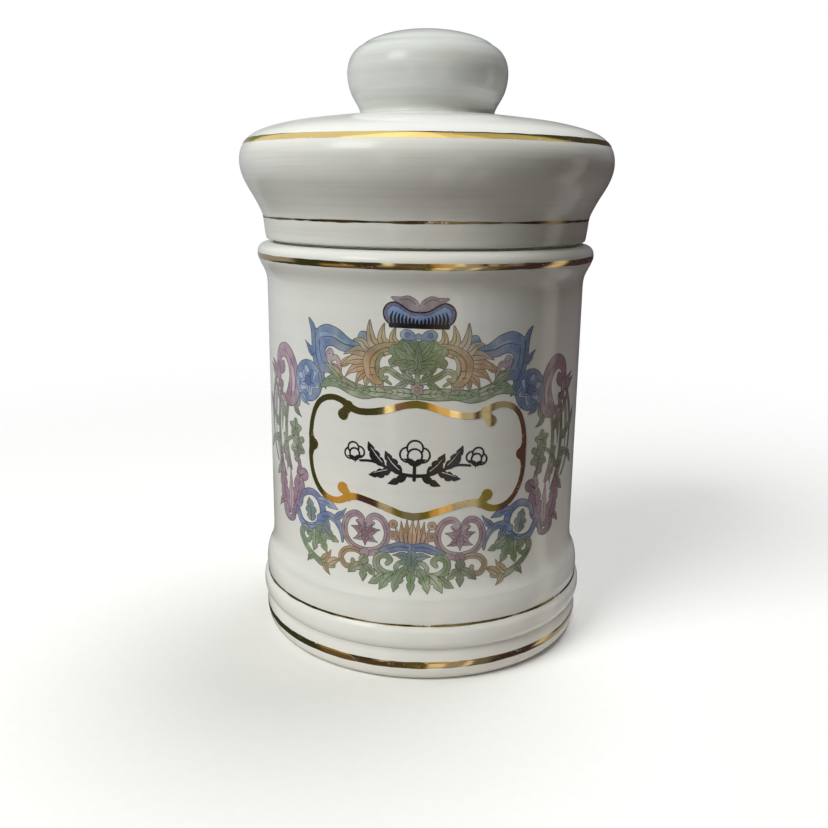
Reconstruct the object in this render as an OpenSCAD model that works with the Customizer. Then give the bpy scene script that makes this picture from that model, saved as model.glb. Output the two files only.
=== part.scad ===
// Apothecary jar: a straight-sided porcelain jar with a turned foot and a rolled rim,
// a domed lid with a mushroom knob, a soft sealing ring on the lid's collar,
// fired gilt lines and a transfer-printed wreath round a gilt label frame.
// Frame: +Z up, origin at the centre of the foot's resting plane, label towards -Y.

/* [Jar body] */
// Outer radius of the straight wall
body_r = 44.1; // [43.6:0.1:44.4]
// Thickness of the straight wall
wall_t = 4.2; // [3.6:0.1:4.4]
// Height of the rim's top face, where the sealing ring lands
rim_top_z = 110.6; // [110.6:0.1:112]
// Radius of the mouth's cylindrical bore
mouth_r = 39.6; // [39.6:0.1:39.8]
// Height of the floor inside the jar
floor_z = 6.0; // [5.5:0.5:9]
// Depth of the recess under the base
base_recess = 2.5; // [1.5:0.5:3]
// Inner radius of the unglazed foot ring
foot_ring_r = 39.4; // [38:0.2:41]

/* [Lid] */
// Gap between the rim's top and the lid's underside, filled by the sealing ring's flange
lid_gap = 0.6; // [0.4:0.1:0.8]
// Outer radius of the collar that drops into the mouth
collar_r = 37.3; // [36.8:0.1:37.3]
// Inner radius of the collar
collar_inner_r = 33.8; // [32:0.2:34]
// Length of the collar below the lid's underside
collar_h = 12.2; // [11.8:0.1:14]
// How far the bead at the collar's end stands out, which keeps the sealing ring on
bead_h = 0.6; // [0.3:0.1:0.9]
// Radius of the hole in the lid's crown under the knob
crown_hole_r = 14.2; // [12:0.2:15]

/* [Knob] */
// Radius of the knob's seat on the lid
knob_seat_r = 18.2; // [18.2:0.1:18.6]
// Outer radius of the tenon that locates the knob in the crown hole
tenon_r = 14.15; // [11.5:0.05:14.15]
// Wall of the tenon
tenon_wall = 3.6; // [3:0.2:4.5]

/* [Sealing ring] */
// Radial clearance between the ring's sleeve and the collar
seal_clear = 0.08; // [0.05:0.01:0.1]
// Outer radius of the sealing fins
fin_r = 39.5; // [39.2:0.05:39.5]
// Number of sealing fins
fin_count = 3; // [2:1:3]
// Outer radius of the flange between lid and rim
flange_r = 42.2; // [41:0.1:42.4]

/* [Decoration] */
// Thickness of the fired gilt
gilt_t = 0.12; // [0.08:0.01:0.2]
// Thickness of the fired transfer print
print_t = 0.08; // [0.06:0.01:0.15]
// Height of the label frame's centre
label_z = 59.8; // [58:0.2:62]
// Half width of the label frame, along the wall
label_hw = 30; // [27:0.5:32]
// Half height of the label frame
label_hh = 14.6; // [13:0.2:16]
// Width of the label frame's line
label_line = 2.0; // [1.4:0.1:2.4]

/* [Motion] */
// How far the lid is drawn lifted, for looking at the assembly
show_lift = 0; // [0:1:120]

/* [Hidden] */
$fn = 96;

// Smooth curve (Catmull-Rom) through points p, n steps a span
function _pt(p, i) = i < 0 ? 2*p[0] - p[1] : i > len(p) - 1 ? 2*p[len(p)-1] - p[len(p)-2] : p[i];
function _cr(a, b, c, d, t) = 0.5 * (2*b + (c - a)*t + (2*a - 5*b + 4*c - d)*t*t + (3*b - a - 3*c + d)*t*t*t);
function spline(p, n = 4) = concat(
    [for (i = [0:len(p)-2]) for (j = [0:n-1]) _cr(_pt(p, i-1), p[i], p[i+1], _pt(p, i+2), j/n)],
    [p[len(p)-1]]);

// Outer profiles as [radius, height], from the bottom upwards
foot_outer = spline([[43.7, 0], [44.9, 0.5], [45.9, 1.7], [46.35, 3.3], [46.5, 5.2], [46.4, 7.0], [46.15, 8.4], [45.95, 9.2]]);
roll_outer = spline([[45.95, 9.2], [46.55, 9.9], [47.05, 11.1], [47.2, 12.6], [47.0, 14.2], [46.5, 15.3], [46.05, 15.9]]);
torus_outer = spline([[46.05, 15.9], [46.2, 17.0], [46.3, 18.6], [46.2, 20.2], [45.95, 21.6], [45.6, 22.7]]);
cove_outer = spline([[45.6, 22.7], [45.05, 23.9], [44.6, 25.2], [44.3, 26.7], [44.15, 28.3], [body_r, 30]]);
rim_outer = spline([[body_r, 99.0], [44.15, 100.4], [44.4, 101.9], [44.9, 103.3], [45.55, 104.6], [46.15, 105.9],
                    [46.5, 107.2], [46.5, 108.4], [46.1, 109.4], [45.3, 110.1], [44.2, 110.5]]);
jar_outer = concat(foot_outer, [for (i = [1:len(roll_outer)-1]) roll_outer[i]], [for (i = [1:len(torus_outer)-1]) torus_outer[i]],
                   [for (i = [1:len(cove_outer)-1]) cove_outer[i]], rim_outer);

lid_z = rim_top_z + lid_gap;
skirt_outer = spline([[43.3, 0], [43.95, 0.25], [44.2, 0.9], [44.4, 2.3], [44.6, 3.9], [44.75, 5.3], [44.8, 6.0]]);
flare_outer = spline([[44.8, 6.0], [45.2, 7.3], [46.0, 9.0], [47.1, 11.1], [48.4, 13.3], [49.6, 15.6], [50.4, 17.9],
                      [50.7, 20.0], [50.6, 21.9], [50.15, 23.6], [49.3, 25.2], [48.1, 26.5], [46.3, 27.7], [43.6, 28.8],
                      [40.0, 29.8], [35.5, 30.7], [30.5, 31.4], [25.0, 32.1], [21.5, 32.5], [19.4, 32.7]]);
lid_outer = concat(skirt_outer, [for (i = [1:len(flare_outer)-1]) flare_outer[i]]);
seat_z = 32.75;
lid_inner = spline([[collar_inner_r, 0.5], [34.6, 3.0], [37.0, 6.0], [40.4, 9.0], [43.4, 12.2], [45.6, 15.6], [46.5, 19.0],
                    [45.9, 22.0], [43.6, 24.2], [39.6, 25.7], [34.0, 26.8], [27.0, 27.7], [20.0, 28.5], [15.0, 29.0]]);

knob_outer = spline([[knob_seat_r, 0], [18.3, 1.2], [18.95, 2.6], [19.85, 4.1], [20.75, 5.9], [21.35, 8.0], [21.6, 10.3],
                     [21.45, 12.4], [20.9, 14.2], [20.0, 15.7], [18.9, 16.8], [17.8, 17.5]]);
crown_outer = spline([[17.8, 17.5], [16.3, 18.55], [14.4, 19.4], [12.0, 20.2], [9.0, 20.9], [6.0, 21.35], [3.0, 21.6], [0, 21.7]]);
knob_cavity = spline([[10.5, 1.4], [12.4, 3.4], [15.3, 5.9], [17.1, 8.6], [17.2, 11.4], [15.6, 14.0], [12.6, 15.9], [8.5, 17.1], [4.2, 17.6], [0, 17.7]]);

// A fired layer of thickness t on profile p between heights z1 and z2
function _at(a, b, z) = a + (b - a) * ((z - a[1]) / (b[1] - a[1]));
function _cut(p, z) = [for (i = [0:len(p)-2]) if (p[i][1] <= z && p[i+1][1] > z) _at(p[i], p[i+1], z)][0];
function _slice(p, z1, z2) = concat([_cut(p, z1)], [for (q = p) if (q[1] > z1 + 0.01 && q[1] < z2 - 0.01) q], [_cut(p, z2)]);
function _rev(l) = [for (i = [len(l)-1:-1:0]) l[i]];
module fired_band(p, z1, z2, t, lift = 0) {
    s = _slice(p, z1, z2);
    n = len(s);
    out = [for (i = [0:n-1])
        let (a = s[max(0, i-1)], b = s[min(n-1, i+1)], d = (b - a) / norm(b - a), k = (i == 0 || i == n-1) ? 0.4 : 1)
        s[i] + k * t * [d[1], -d[0]]];
    translate([0, 0, lift]) rotate_extrude($fn = 180) polygon(concat(s, _rev(out)));
}

// Drawing on the wall: points are [distance along the wall, height]
function wrap(p) = [for (q = p) [body_r * sin(q[0] / body_r * 180 / PI), q[1]]];
function mirrored(p) = _rev([for (q = p) [-q[0], q[1]]]);
module on_wall(t) {
    intersection() {
        rotate([90, 0, 0]) linear_extrude(height = 60) children();
        difference() {
            translate([0, 0, 20]) cylinder(r = body_r + t, h = 82, $fn = 180);
            translate([0, 0, 19]) cylinder(r = body_r, h = 84, $fn = 180);
        }
    }
}
// A leaf from a to b, w wide, bent sideways by c
function leaf(a, b, w, c = 0, n = 7) = let (d = b - a, u = [-d[1], d[0]] / norm(d)) concat(
    [for (i = [0:n]) let (t = i/n) a + d*t + u*(c*sin(180*t) + w/2*pow(sin(180*min(0.995, t*0.97 + 0.015)), 0.8))],
    [for (i = [n:-1:0]) let (t = i/n) a + d*t + u*(c*sin(180*t) - w/2*pow(sin(180*min(0.995, t*0.97 + 0.015)), 0.8))]);
// A round-ended stroke that follows an arc of radius r about c, from angle a1 to a2, w wide
function scroll(c, r, a1, a2, w, n = 9) = concat(
    [for (i = [0:n]) let (a = a1 + (a2-a1)*i/n) c + (r + w/2*(0.5 + 0.5*i/n))*[cos(a), sin(a)]],
    [for (i = [n:-1:0]) let (a = a1 + (a2-a1)*i/n) c + (r - w/2*(0.5 + 0.5*i/n))*[cos(a), sin(a)]]);
module both(p) { polygon(wrap(p)); polygon(wrap(mirrored(p))); }

// The label frame's line, as an outline scaled about the frame's centre: right half, from the top down
label_half = [[0, 0.93], [0.17, 0.83], [0.38, 0.86], [0.56, 0.80], [0.62, 0.97], [0.76, 1.0], [0.90, 0.84], [0.985, 0.5],
              [0.93, 0.16], [0.985, -0.1], [0.985, -0.5], [0.90, -0.84], [0.76, -1.0], [0.62, -0.95], [0.56, -0.80],
              [0.36, -0.88], [0.17, -0.90], [0, -0.99]];
function label_pts(dx, dz) = let (r = [for (q = label_half) [q[0]*(label_hw - dx), label_z + q[1]*(label_hh - dz)]])
    concat(r, [for (i = [len(r)-2:-1:1]) [-r[i][0], r[i][1]]]);

module jar_body() {
    color("ghostwhite") rotate_extrude($fn = 180) polygon(concat(
        [[foot_ring_r, 0]], jar_outer, [[43.4, rim_top_z], [mouth_r + 0.7, rim_top_z]],
        [[mouth_r + 0.2, rim_top_z - 0.2], [mouth_r, rim_top_z - 0.7], [mouth_r, 95.5]],
        spline([[mouth_r, 95.5], [mouth_r + 0.12, 93.5], [body_r - wall_t, 91]]),
        [[body_r - wall_t, floor_z + 9]],
        [for (a = [10:10:90]) [body_r - wall_t - 8 + 8*cos(a), floor_z + 8 - 8*sin(a) + 1*(1 - a/90)]],
        [[0, floor_z], [0, base_recess], [foot_ring_r - 3.2, base_recess], [foot_ring_r - 1.2, base_recess - 0.4], [foot_ring_r - 0.4, 0.6]]));
}

module lid_shell() {
    color("ghostwhite") translate([0, 0, lid_z + show_lift]) rotate_extrude($fn = 180) polygon(concat(
        lid_outer, [[knob_seat_r + 0.4, seat_z], [crown_hole_r, seat_z], [crown_hole_r, 29.1]], _rev(lid_inner),
        [[collar_inner_r, -collar_h + 0.5], [collar_inner_r + 0.5, -collar_h], [collar_r - 0.3, -collar_h],
         [collar_r + bead_h - 0.15, -collar_h + 0.35], [collar_r + bead_h, -collar_h + 0.8], [collar_r + bead_h - 0.15, -collar_h + 1.25],
         [collar_r, -collar_h + 1.6], [collar_r, 0]]));
}

module lid_knob() {
    color("ghostwhite") translate([0, 0, lid_z + seat_z + show_lift]) rotate_extrude($fn = 180) polygon(concat(
        knob_outer, [for (i = [1:len(crown_outer)-1]) crown_outer[i]], _rev(knob_cavity),
        [[tenon_r - tenon_wall, -2.9], [tenon_r - 0.3, -2.9], [tenon_r, -2.6], [tenon_r, 0]]));
}

module sealing_ring() {
    r0 = collar_r + seal_clear;
    color("whitesmoke") translate([0, 0, lid_z + show_lift]) rotate_extrude($fn = 180) union() {
        polygon([[r0, -10.2], [r0 + 0.9, -10.2], [r0 + 0.9, -lid_gap], [flange_r - 0.15, -lid_gap], [flange_r, -lid_gap/2],
                 [flange_r - 0.15, 0], [r0, 0]]);
        for (i = [0:fin_count-1]) translate([0, -3.6 - 2.6*i])
            polygon([[r0 + 0.6, -0.9], [fin_r - 0.2, -0.35], [fin_r, 0], [fin_r - 0.2, 0.15], [r0 + 0.6, 0.1]]);
    }
}

module lid_shoulder_gilt_band() { color("gold") fired_band(lid_outer, 24.6, 26.0, gilt_t, lid_z + show_lift); }
module lid_lower_gilt_line() { color("goldenrod") fired_band(lid_outer, 5.75, 6.3, gilt_t, lid_z + show_lift); }
module rim_gilt_band() { color("gold") fired_band(jar_outer, 106.5, 107.9, gilt_t); }
module foot_upper_gilt_line() { color("goldenrod") fired_band(jar_outer, 15.7, 16.2, gilt_t); }
module foot_lower_gilt_band() { color("gold") fired_band(jar_outer, 4.0, 5.9, gilt_t); }

module label_gilt_frame() {
    color("gold") on_wall(gilt_t) difference() {
        polygon(wrap(label_pts(0, 0)));
        polygon(wrap(label_pts(label_line, label_line)));
    }
}

// A generic cotton sprig: three round bolls, two leaves and a stem, all apart
module label_cotton_motif() {
    color("dimgray") on_wall(print_t) {
        for (a = [0:120:240]) polygon(wrap([for (k = [0:30:330]) [0, label_z + 1.2] + 2.9*[cos(a+90), sin(a+90)] + 2.3*[cos(k), sin(k)]]));
        both(leaf([4.2, label_z - 2.4], [15.5, label_z + 0.6], 3.6, 0.8));
        both(leaf([6.6, label_z + 2.6], [12.6, label_z + 4.4], 2.0, 0.3));
        polygon(wrap([[-0.5, label_z - 3.2], [0.5, label_z - 3.2], [0.4, label_z - 6.2], [-0.4, label_z - 6.2]]));
    }
}

module crest_transfer() {
    color("cornflowerblue") on_wall(print_t) {
        polygon(wrap([[-7.0, 92.9], [7.0, 92.9], [8.4, 94.3], [8.8, 96.2], [7.6, 97.7], [5.4, 98.2], [2.6, 97.0], [0, 96.2],
                      [-2.6, 97.0], [-5.4, 98.2], [-7.6, 97.7], [-8.8, 96.2], [-8.4, 94.3]]));
        both(leaf([0.4, 97.6], [6.6, 98.9], 1.3, 0.5));
    }
}

module wreath_green_transfer() {
    color("darkseagreen") on_wall(print_t) {
        polygon(wrap([[0, 91.8], [2.4, 90.2], [5.2, 90.6], [6.4, 88.0], [5.6, 85.2], [2.2, 83.0], [0, 82.2],
                      [-2.2, 83.0], [-5.6, 85.2], [-6.4, 88.0], [-5.2, 90.6], [-2.4, 90.2]]));
        both(leaf([1.2, 77.6], [18, 77.2], 2.6, 0.9));
        both(scroll([46.5, 66], 3.2, -60, 120, 2.2));
        both(leaf([41.6, 54], [39.6, 63], 3.4, 0.6));
        both(leaf([47.5, 50], [46.2, 61], 2.8, -0.8));
        both(leaf([20.8, 40.6], [30.0, 33.4], 3.8, -0.8));
        both(leaf([4.0, 33.6], [12.5, 30.2], 2.8, -0.6));
        both(leaf([25.5, 31.6], [33.4, 37.4], 2.6, -0.8));
    }
}

module wreath_blue_transfer() {
    color("cornflowerblue") on_wall(print_t) {
        both(leaf([14.6, 88.4], [27.2, 87.6], 3.4, 0.8));
        both(leaf([27.8, 80.6], [29.6, 91.2], 3.2, -0.6));
        both(scroll([34.8, 77.4], 2.9, -30, 250, 2.8));
        both(leaf([36.6, 45.6], [28.6, 42.6], 2.8, 0.6));
        both(leaf([1.2, 34.9], [11.2, 36.6], 1.8, 0.5));
    }
}

module wreath_orange_transfer() {
    color("burlywood") on_wall(print_t) {
        both(leaf([10.6, 81.4], [13.2, 93.0], 3.6, 0.8));
        both(leaf([15.6, 80.0], [19.6, 87.0], 2.6, 0.6));
        both(leaf([20.6, 79.2], [24.6, 83.6], 2.0, 0.4));
        both(leaf([2.6, 37.4], [3.4, 43.2], 2.6, 0));
    }
}

module wreath_mauve_transfer() {
    color("thistle") on_wall(print_t) {
        both(leaf([44.0, 70.4], [46.0, 82.4], 4.2, -0.8));
        both(leaf([43.6, 40.0], [45.4, 49.6], 4.0, 0.6));
        both(scroll([14.6, 39.2], 3.8, 200, 500, 1.8));
        both(leaf([38.6, 47.4], [38.0, 53.0], 1.8, 0.3));
    }
}

jar_body();
lid_shell();
lid_knob();
sealing_ring();
lid_shoulder_gilt_band();
lid_lower_gilt_line();
rim_gilt_band();
foot_upper_gilt_line();
foot_lower_gilt_band();
label_gilt_frame();
label_cotton_motif();
crest_transfer();
wreath_green_transfer();
wreath_blue_transfer();
wreath_orange_transfer();
wreath_mauve_transfer();
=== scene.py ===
"""Apothecary jar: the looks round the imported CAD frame. Metres, +Z up, the label towards -Y."""
import math

import bpy
from mathutils import Matrix, Vector, geometry, noise


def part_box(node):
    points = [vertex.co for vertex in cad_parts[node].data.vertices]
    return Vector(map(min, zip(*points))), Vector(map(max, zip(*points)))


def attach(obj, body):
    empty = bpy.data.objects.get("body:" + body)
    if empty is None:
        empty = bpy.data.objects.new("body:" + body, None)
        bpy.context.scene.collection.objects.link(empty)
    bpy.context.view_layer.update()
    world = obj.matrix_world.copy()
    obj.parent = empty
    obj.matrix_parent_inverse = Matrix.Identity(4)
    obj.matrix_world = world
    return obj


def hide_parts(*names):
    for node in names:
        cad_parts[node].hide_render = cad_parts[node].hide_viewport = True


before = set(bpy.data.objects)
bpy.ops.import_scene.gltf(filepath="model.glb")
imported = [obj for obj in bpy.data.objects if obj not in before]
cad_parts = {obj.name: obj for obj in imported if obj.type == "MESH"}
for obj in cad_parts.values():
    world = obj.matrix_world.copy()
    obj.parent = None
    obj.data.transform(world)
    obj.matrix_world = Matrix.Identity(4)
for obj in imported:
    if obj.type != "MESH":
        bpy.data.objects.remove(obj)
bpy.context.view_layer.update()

MM = 0.001
# Places that come from the frame
WALL_R = -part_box("label_cotton_motif")[0].y / MM - 0.08
LID_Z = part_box("lid_shell")[0].z / MM + 12.2
KNOB_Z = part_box("lid_knob")[0].z / MM + 2.9
RIM_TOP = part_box("jar_body")[1].z / MM
SEGS = 288

# ---- artwork, drawn in millimetres on the unrolled wall: x along the wall, y up ----
LINE = -1.0


def lerp(a, b, t):
    return a + (b - a) * t


def smooth(pts, n=6, closed=False):
    """Catmull-Rom through pts."""
    out, m = [], len(pts)
    for i in range(m if closed else m - 1):
        if closed:
            p = [pts[(i + k) % m] for k in (-1, 0, 1, 2)]
        else:
            p = [pts[max(0, min(m - 1, i + k))] for k in (-1, 0, 1, 2)]
        for j in range(n):
            t = j / n
            out.append(tuple(0.5 * (2 * p[1][k] + (p[2][k] - p[0][k]) * t + (2 * p[0][k] - 5 * p[1][k] + 4 * p[2][k] - p[3][k]) * t * t
                                    + (3 * p[1][k] - p[0][k] - 3 * p[2][k] + p[3][k]) * t ** 3) for k in range(len(pts[0]))))
    if not closed:
        out.append(tuple(pts[-1]))
    return out


def area(poly):
    return 0.5 * sum(a[0] * b[1] - b[0] * a[1] for a, b in zip(poly, poly[1:] + poly[:1]))


def tidy(poly, eps=0.03):
    """Counter-clockwise, with no two neighbours closer than eps."""
    out = []
    for p in poly:
        if not out or math.hypot(p[0] - out[-1][0], p[1] - out[-1][1]) > eps:
            out.append((p[0], p[1]))
    while len(out) > 3 and math.hypot(out[0][0] - out[-1][0], out[0][1] - out[-1][1]) <= eps:
        out.pop()
    return out if area(out) > 0 else out[::-1]


def offset(poly, d):
    """The outline moved outwards by d, with its corners kept short."""
    out, n = [], len(poly)
    for i in range(n):
        a, b, c = poly[i - 1], poly[i], poly[(i + 1) % n]
        e1, e2 = (b[0] - a[0], b[1] - a[1]), (c[0] - b[0], c[1] - b[1])
        l1, l2 = math.hypot(*e1) or 1e-9, math.hypot(*e2) or 1e-9
        n1, n2 = (e1[1] / l1, -e1[0] / l1), (e2[1] / l2, -e2[0] / l2)
        m = (n1[0] + n2[0], n1[1] + n2[1])
        q = max(math.hypot(*m), 0.35)
        k = d * min(1.6, 2 / q / q) * q / max(math.hypot(*m), 1e-6) if math.hypot(*m) > 0.2 else 0
        out.append((b[0] + m[0] * k * 0.5 * (2 / max(q, 1e-6)) / 2 * q, b[1] + m[1] * k * 0.5 * (2 / max(q, 1e-6)) / 2 * q))
    return out


def ribbon(pts, widths, n=5, caps=True):
    """A band along the smooth line through pts; widths are spread evenly along it."""
    c = smooth(pts, n)
    m = len(c)
    left, right = [], []
    for i, p in enumerate(c):
        a, b = c[max(0, i - 1)], c[min(m - 1, i + 1)]
        l = math.hypot(b[0] - a[0], b[1] - a[1]) or 1e-9
        nx, ny = -(b[1] - a[1]) / l, (b[0] - a[0]) / l
        t = i / (m - 1) * (len(widths) - 1)
        k = min(int(t), len(widths) - 2)
        w = lerp(widths[k], widths[k + 1], t - k) / 2
        left.append((p[0] + nx * w, p[1] + ny * w))
        right.append((p[0] - nx * w, p[1] - ny * w))

    def cap(p, q, r):
        """Half circle from p to q about their middle, turning away from r."""
        cx, cy = (p[0] + q[0]) / 2, (p[1] + q[1]) / 2
        rad = math.hypot(p[0] - cx, p[1] - cy)
        if not caps or rad < 0.12:
            return []
        a0 = math.atan2(p[1] - cy, p[0] - cx)
        s = -1 if (math.cos(a0 - math.pi / 2) * (cx - r[0]) + math.sin(a0 - math.pi / 2) * (cy - r[1])) > 0 else 1
        return [(cx + rad * math.cos(a0 + s * math.pi * j / 6), cy + rad * math.sin(a0 + s * math.pi * j / 6)) for j in range(1, 6)]
    return left + cap(left[-1], right[-1], c[-2]) + right[::-1] + cap(right[0], left[0], c[1])


def spiral(cx, cy, r0, r1, a0, a1, n=14):
    return [(cx + lerp(r0, r1, i / n) * math.cos(math.radians(lerp(a0, a1, i / n))),
             cy + lerp(r0, r1, i / n) * math.sin(math.radians(lerp(a0, a1, i / n)))) for i in range(n + 1)]


def along(base, tip, bend, n):
    dx, dy = tip[0] - base[0], tip[1] - base[1]
    for i in range(n + 1):
        t = i / n
        s = 4 * t * (1 - t) * bend
        ds = 4 * (1 - 2 * t) * bend
        l = math.hypot(dx, dy)
        tx, ty = dx - dy / l * ds, dy + dx / l * ds
        m = math.hypot(tx, ty)
        yield t, (base[0] + dx * t - dy / l * s, base[1] + dy * t + dx / l * s), (-ty / m, tx / m)


def frond(base, tip, w, bend=0.0, n=9, root=0.45):
    """A plain pointed leaf."""
    left, right = [], []
    for t, p, u in along(base, tip, bend, n):
        h = w / 2 * (root + (1 - root) * math.sin(math.pi * min(1, t * 1.15 + 0.08))) * (1 - t ** 3.2) + 0.03
        left.append((p[0] + u[0] * h, p[1] + u[1] * h))
        right.append((p[0] - u[0] * h, p[1] - u[1] * h))
    return left + right[::-1]


def lobed(base, tip, w, bend=0.0, lobes=3, depth=0.45, n=None):
    """A leaf with rounded lobes that point towards its tip."""
    n = n or lobes * 7
    left, right = [], []
    for t, p, u in along(base, tip, bend, n):
        body = math.sin(math.pi * min(0.985, 0.06 + t * 0.94)) ** 0.75 * (1.12 - 0.35 * t)
        k = (t * lobes) % 1.0
        cut = 1 - depth * (1 - math.sin(math.pi * min(1, k ** 0.8)) ** 0.6) if t < 0.93 else 1 - depth * 0.4
        h = w / 2 * body * cut + 0.03
        left.append((p[0] + u[0] * h, p[1] + u[1] * h))
        right.append((p[0] - u[0] * h, p[1] - u[1] * h))
    return left + right[::-1]


def rosette(cx, cy, r, n, depth=0.35, turn=0.0, k=6):
    m = n * k
    return [(cx + r * (1 - depth * (0.5 - 0.5 * math.cos(2 * math.pi * i / k)) ** 1.0) * math.cos(2 * math.pi * i / m + turn),
             cy + r * (1 - depth * (0.5 - 0.5 * math.cos(2 * math.pi * i / k)) ** 1.0) * math.sin(2 * math.pi * i / m + turn)) for i in range(m)]


def disc(cx, cy, r, n=14, sy=1.0):
    return [(cx + r * math.cos(2 * math.pi * i / n), cy + r * sy * math.sin(2 * math.pi * i / n)) for i in range(n)]


class Art:
    """Shapes in painting order: a later one covers an earlier one."""

    def __init__(self):
        self.ops = []

    def fill(self, poly, ink, tone=0.0, both=True):
        p = tidy(poly)
        if len(p) < 3 or abs(area(p)) < 0.004:
            return
        self.ops.append((p, ink, tone))
        if both:
            self.ops.append((tidy([(-x, y) for x, y in p]), ink, tone))

    def shape(self, poly, ink, tone=0.0, lw=0.2, both=True):
        p = tidy(poly)
        self.fill(offset(p, lw * 0.6), ink, LINE, both)
        q = offset(p, -lw * 0.75)
        if area(q) > 0.05:
            self.fill(q, ink, tone, both)

    def vein(self, pts, ink, w=0.16, both=True, n=3):
        self.fill(ribbon(pts, [w * 1.3, w * 1.2, w * 0.45], n, caps=False), ink, LINE, both)

    def leaf(self, base, tip, w, ink, bend=0.0, lobes=0, tone=0.0, lw=0.2, both=True, veins=True, depth=0.45):
        self.shape(lobed(base, tip, w, bend, lobes, depth) if lobes else frond(base, tip, w, bend), ink, tone, lw, both)
        if veins:
            c = [p for t, p, u in along(base, tip, bend, 5)]
            self.vein([c[0], c[2], c[4]], ink, 0.15, both)


def ivy(a, cx, cy, r, ink, turn=0.0, tone=0.0, lobes=5):
    """A rounded leaf of soft lobes, veined from its middle."""
    a.shape(rosette(cx, cy, r, lobes, 0.36, turn, 8), ink, tone, 0.2)
    for k in range(lobes):
        t = turn + k * 2 * math.pi / lobes
        a.vein([(cx, cy), (cx + 0.42 * r * math.cos(t), cy + 0.42 * r * math.sin(t)), (cx + 0.74 * r * math.cos(t), cy + 0.74 * r * math.sin(t))], ink, 0.17)


def curl(a, pts, widths, ink, tone=0.0, lw=0.2, mid=True):
    """A scroll stem with a line along its middle."""
    a.shape(ribbon(pts, widths), ink, tone, lw)
    if mid and len(pts) > 3:
        a.vein(pts[:-2], ink, 0.15, n=4)


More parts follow.
